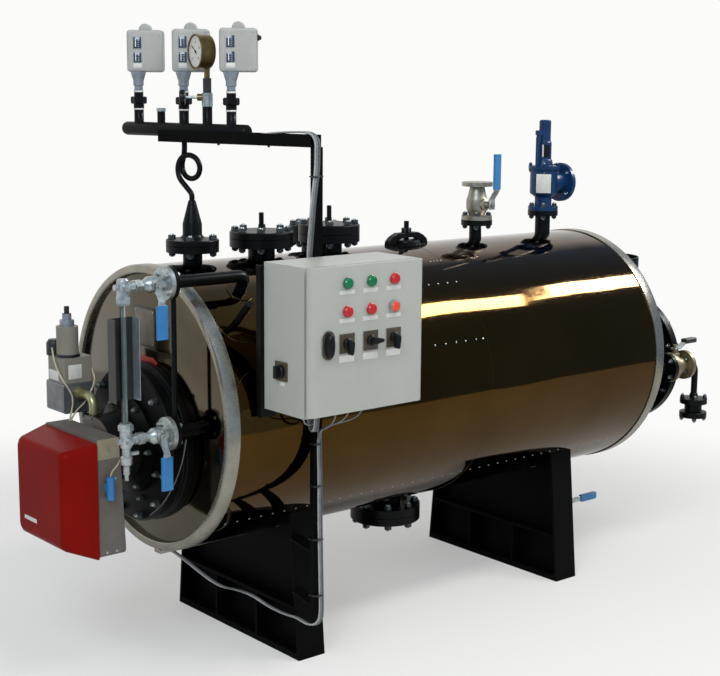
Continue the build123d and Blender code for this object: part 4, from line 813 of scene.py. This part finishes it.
# dial gauge: case with a recessed white face, marks, numbers and pointer
dial = {"radius": 0.0575, "thick": 0.055, "z": 2.128, "face": 0.0520, "recess": 0.005, "sweep": 270,
        "numbers": ("0", "4", "8", "12", "16"), "reads": 0.30}
dialWay = Vector((-0.987, 0.154, 0)).normalized()
cockFoot = rigPoint(0.100, 0, 0)
dialBack = Vector((cockFoot.x, cockFoot.y, dial["z"])) - dialWay * 0.009
r, t = dial["radius"], dial["thick"]
bm = bmesh.new()
turnedShape(bm, [(0, 0), (r - 0.003, 0), (r, 0.004), (r, t - 0.009), (r + 0.002, t - 0.008),
                 (r + 0.002, t - 0.001), (r + 0.001, t), (r - 0.003, t), (r - 0.0045, t - 0.0015),
                 (dial["face"] + 0.0005, t - dial["recess"]), (0, t - dial["recess"])], dialBack, dialWay, 64)
bmesh.ops.create_cone(bm, cap_ends=True, segments=6, radius1=0.0098, radius2=0.0098, depth=0.040,
                      matrix=Matrix.Translation((cockFoot.x, cockFoot.y, 2.060)))
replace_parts(settle(bm, "dialCase", "turnedBrass", "boiler", 30, 0.0004), "pressure_gauge")
faceAt = dialBack + dialWay * (t - dial["recess"])
bm = bmesh.new()
stub(bm, faceAt - dialWay * 0.0005, dialWay, dial["face"], 0.0011, 48, None, 0)
onFace = facing(faceAt + dialWay * 0.0006, dialWay)
for k in range(33):
    a = math.radians(225 - dial["sweep"] * k / 32)
    long = 0.009 if k % 8 == 0 else (0.006 if k % 4 == 0 else 0.0035)
    radius = 0.047 - long / 2
    turnTo = Matrix.Translation((radius * math.cos(a), radius * math.sin(a), 0)) @ Matrix.Rotation(a, 4, "Z")
    plate(bm, onFace @ turnTo, long, 0.0012 if k % 8 == 0 else 0.0007, 0.0003, 0, 1)
a = math.radians(225 - dial["sweep"] * dial["reads"])
pointerAt = onFace @ Matrix.Rotation(a, 4, "Z") @ Matrix.Translation((0.013, 0, 0.001))
plate(bm, pointerAt, 0.052, 0.0022, 0.0008, 0.0003, 1)
stub(bm, faceAt, dialWay, 0.0045, 0.0030, 20, 0.0040, 1)
for k, digits in enumerate(dial["numbers"]):
    a = math.radians(225 - dial["sweep"] * k / (len(dial["numbers"]) - 1))
    words = bpy.data.curves.new("dialNumber", "FONT")
    words.body = digits
    words.size = 0.011
    words.extrude = 0.0002
    words.align_x, words.align_y = "CENTER", "CENTER"
    holder = addObject("dialNumber", words)
    shape = bpy.data.meshes.new_from_object(holder.evaluated_get(bpy.context.evaluated_depsgraph_get()))
    shape.transform(onFace @ Matrix.Translation((0.031 * math.cos(a), 0.031 * math.sin(a), 0.0003)))
    before = len(bm.faces)
    bm.from_mesh(shape)
    bm.faces.ensure_lookup_table()
    for face in bm.faces[before:]:
        face.material_index = 1
    bpy.data.objects.remove(holder)
    bpy.data.curves.remove(words)
    bpy.data.meshes.remove(shape)
settle(bm, "dialFace", ["dialWhite", "phenolic"], "boiler", 30)
print("rig dressed")

# cables: three sheaths side by side along each route, tied to the post
bundle = {"thick": 0.0070, "apart": 0.0066, "legThick": 0.0062, "legApart": 0.0058,
          "sheaths": ("sheathLight", "cableSheath", "sheathDark")}
armRoute = [rigPoint(0.306, 0, 1.850), rigPoint(0.380, 0.001, 1.860), rigPoint(0.470, -0.001, 1.867),
            rigPoint(0.557, 0, 1.8685), rigPoint(0.5828, 0, 1.843), (-0.0965, -0.537, 1.790),
            (-0.098, -0.537, 1.745), (-0.106, -0.537, 1.690), (-0.1135, -0.537, 1.640),
            (-0.116, -0.535, 1.590), (-0.1155, -0.528, 1.540), (-0.114, -0.5195, 1.490),
            (-0.1135, -0.517, 1.440), (-0.1135, -0.517, 0.940), (-0.116, -0.5235, 0.908),
            (-0.124, -0.544, 0.886), (-0.1345, -0.571, 0.884), (-0.143, -0.592, 0.902),
            (-0.146, -0.600, 0.932), (-0.146, -0.600, 0.966)]
legRoute = [(-0.0842, -0.5364, 0.846), (-0.0844, -0.5364, 0.800), (-0.082, -0.5364, 0.740),
            (-0.0812, -0.5364, 0.640), (-0.081, -0.5364, 0.560), (-0.0774, -0.5364, 0.400),
            (-0.0748, -0.5364, 0.290), (-0.074, -0.5364, 0.216), (-0.079, -0.528, 0.192),
            (-0.084, -0.508, 0.178), (-0.086, -0.478, 0.172), (-0.084, -0.440, 0.174),
            (-0.077, -0.396, 0.172), (-0.073, -0.350, 0.164), (-0.076, -0.290, 0.163),
            (-0.084, -0.225, 0.172), (-0.110, -0.178, 0.200), (-0.160, -0.150, 0.224),
            (-0.212, -0.130, 0.240), (-0.258, -0.102, 0.280), (-0.290, -0.066, 0.318),
            (-0.318, -0.038, 0.348), (-0.343, -0.021, 0.371), (-0.363, -0.0105, 0.3885)]
for label, route, thick, apart, node in (
        ("armSheath", armRoute, bundle["thick"], bundle["apart"], "arm_cables"),
        ("legSheath", legRoute, bundle["legThick"], bundle["legApart"], "leg_cable")):
    for number, finish in enumerate(bundle["sheaths"]):
        shift = across * apart * (number - 1)
        line = heldLine(f"{label}{number + 1}", [Vector(p) + shift for p in route], thick, finish)
        if number == 0:
            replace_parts(line, node)

# nylon ties round post and cables, and two heads below the arm
ties = {"heights": (0.825, 0.678, 0.490, 0.290), "upper": 1.722, "tall": 0.005}
bm = bmesh.new()
for z in ties["heights"] + (ties["upper"],):
    cableX = -0.100 if z > 1.5 else -0.080
    outline = [(-0.1045, -0.507), (-0.0655, -0.507), (-0.0655, -0.530), (cableX + 0.011, -0.5415),
               (cableX - 0.011, -0.5415), (-0.1045 if z < 1.5 else -0.113, -0.530)]
    drawnOut(bm, [(x, y, z) for x, y in outline], (0, 0, ties["tall"]))
    plate(bm, Matrix.Translation((-0.1075, -0.515, z + 0.0005)), 0.007, 0.006, 0.004, 0.0005)
for s in (0.150, 0.375):
    at = rigPoint(s, 0, 1.8215)
    plate(bm, Matrix.Translation(at - Vector((0, 0, 0.008))), 0.007, 0.007, 0.009, 0.001)
settle(bm, "cableTies", "nylonBlack", "boiler", 40, 0.0004)
print("cables laid")

# burner: cover screw, bare badge, side bracket and its screw
burner = {"screw": (-0.846, 0.110, 0.802), "badge": (-0.852, 0.062, 0.569), "badgeSize": (0.086, 0.014),
          "bracket": (-0.688, -0.178, 0.834), "bracketSize": (0.082, 0.068),
          "bracketScrew": (-0.691, -0.1795, 0.8375)}
bm = bmesh.new()
plate(bm, facing(burner["badge"], (-1, 0, 0)), *burner["badgeSize"], 0.0012, 0.0005, 0)
stub(bm, burner["screw"], (-1, 0, 0), 0.0075, 0.0045, 18, 0.0068, 1)
settle(bm, "hoodTrim", ["plateWhite", "darkAnodised"], "boiler", 40)
bm = bmesh.new()
plate(bm, facing(burner["bracket"], (0, -1, 0)), *burner["bracketSize"], 0.0015, 0.0006, 0)
bolt(bm, burner["bracketScrew"], (0, -1, 0), 0.010, 0.006, 0.014)
for spot in ((-0.700, -0.178, 0.480), (-0.663, -0.178, 0.480), (-0.663, -0.178, 0.730)):
    stub(bm, spot, (0, -1, 0), 0.0050, 0.0022, 16, 0.0042, 1)
settle(bm, "casingBracket", ["tanPlate", "zincPlate"], "boiler", 40)
heldLine("capacitorLead", [(-0.692, -0.198, 0.742), (-0.690, -0.198, 0.757), (-0.670, -0.192, 0.770),
                           (-0.650, -0.186, 0.785), (-0.645, -0.176, 0.788)], 0.005, "creamSheath")
heldLine("coilLead", [(-0.668, 0.228, 1.112), (-0.673, 0.205, 1.060), (-0.674, 0.150, 1.012),
                      (-0.642, 0.140, 0.959), (-0.640, 0.140, 0.919), (-0.650, 0.138, 0.890),
                      (-0.660, 0.132, 0.862)], 0.0064, "creamSheath")
heldLine("actuatorLead", [(-0.557, 0.156, 1.040), (-0.550, 0.143, 1.010), (-0.556, 0.140, 0.985),
                          (-0.571, 0.139, 0.955), (-0.593, 0.139, 0.923), (-0.629, 0.139, 0.897),
                          (-0.650, 0.136, 0.872), (-0.654, 0.134, 0.862)], 0.0064, "creamSheath")
heldLine("doorHose", [(-0.505, -0.366, 0.873), (-0.505, -0.3525, 0.8195), (-0.505, -0.327, 0.763),
                      (-0.505, -0.2825, 0.692), (-0.505, -0.199, 0.603), (-0.505, -0.134, 0.563)],
         0.0042, "sheathDark")

# bare labels: centre, facing, width, height
bareLabels = {
    "actuatorLabelSide": ((-0.667, 0.221, 1.0165), (-1, 0, 0), 0.066, 0.034),
    "actuatorLabelFront": ((-0.623, 0.150, 1.033), (0, -1, 0), 0.052, 0.050),
    "isolatorLabel": ((-0.306, -0.622, 1.076), (-1, 0, 0), 0.034, 0.012),
    "valvePlate": ((1.5115, -0.0395, 1.616), (-0.732, -0.681, 0), 0.062, 0.080),
}
for name, (at, way, wide, tall) in bareLabels.items():
    bm = bmesh.new()
    plate(bm, facing(at, way), wide, tall, 0.0008, 0.0003)
    settle(bm, name, "plateWhite", "boiler", 40)
bm = bmesh.new()
plate(bm, facing((1.5405, -0.0262, 1.752), (-0.45, -0.89, 0)), 0.026, 0.052, 0.0010, 0.0003, 0)
plate(bm, facing((1.5285, -0.0150, 1.752), (-0.86, -0.51, 0)), 0.007, 0.052, 0.0010, 0.0003, 1)
settle(bm, "bonnetPlate", ["phenolic", "plateWhite"], "boiler", 40)

# front plate: framed data plate, pointed red plate; a lip under the shell's front
bm = bmesh.new()
plate(bm, facing((-0.417, 0.0215, 1.1885), (-1, 0, 0)), 0.137, 0.141, 0.0025, 0.0008, 0)
plate(bm, facing((-0.4192, 0.0215, 1.1885), (-1, 0, 0)), 0.121, 0.125, 0.0010, 0.0004, 1)
for y, z in ((-0.034, 1.133), (0.077, 1.133), (-0.034, 1.244), (0.077, 1.244)):
    stub(bm, (-0.4201, y, z), (-1, 0, 0), 0.0028, 0.0012, 12, 0.0018, 2)
settle(bm, "dataPlate", ["darkAnodised", "plateAlloy", "zincPlate"], "boiler", 40)
bm = bmesh.new()
outline = [(0.065, 1.055), (0.065, 1.083), (-0.030, 1.085), (-0.059, 1.069), (-0.030, 1.053)]
drawnOut(bm, [(-0.4172, y, z) for y, z in outline], (-0.0014, 0, 0))
settle(bm, "redPointer", "markerRed", "boiler", 40, 0.0003)
bm = bmesh.new()
plate(bm, Matrix.Translation((-0.245, -0.055, 0.392)), 0.370, 0.040, 0.015, 0.001)
settle(bm, "shellLip", "brushedRim", "boiler", 40)
print("burner and plates dressed")

# cabinet door: bare legend strips under lamps and knobs, a lit ring round the last lamp
legends = {"lampDrop": 0.030, "lampSize": (0.062, 0.014), "knobZ": 1.164, "knobSize": (0.062, 0.022),
           "face": -0.7705}
bm = bmesh.new()
for x in lampX:
    for z in lampZ:
        stripAt = facing((x, legends["face"], z - legends["lampDrop"]), (0, -1, 0))
        plate(bm, stripAt, *legends["lampSize"], 0.0010, 0.0003)
    stripAt = facing((x, legends["face"], legends["knobZ"]), (0, -1, 0))
    plate(bm, stripAt, *legends["knobSize"], 0.0010, 0.0003)
settle(bm, "doorLegends", "plateWhite", "cabinet_door", 40)
bm = bmesh.new()
turnedShape(bm, [(0.0176, 0), (0.0212, 0), (0.0212, 0.009), (0.0196, 0.0125), (0.0176, 0.0125), (0.0176, 0)],
            (lampX[2], legends["face"], lampZ[1]), (0, -1, 0), 40)
settle(bm, "litLampRing", "zincPlate", "cabinet_door", 40)
print("cabinet dressed")
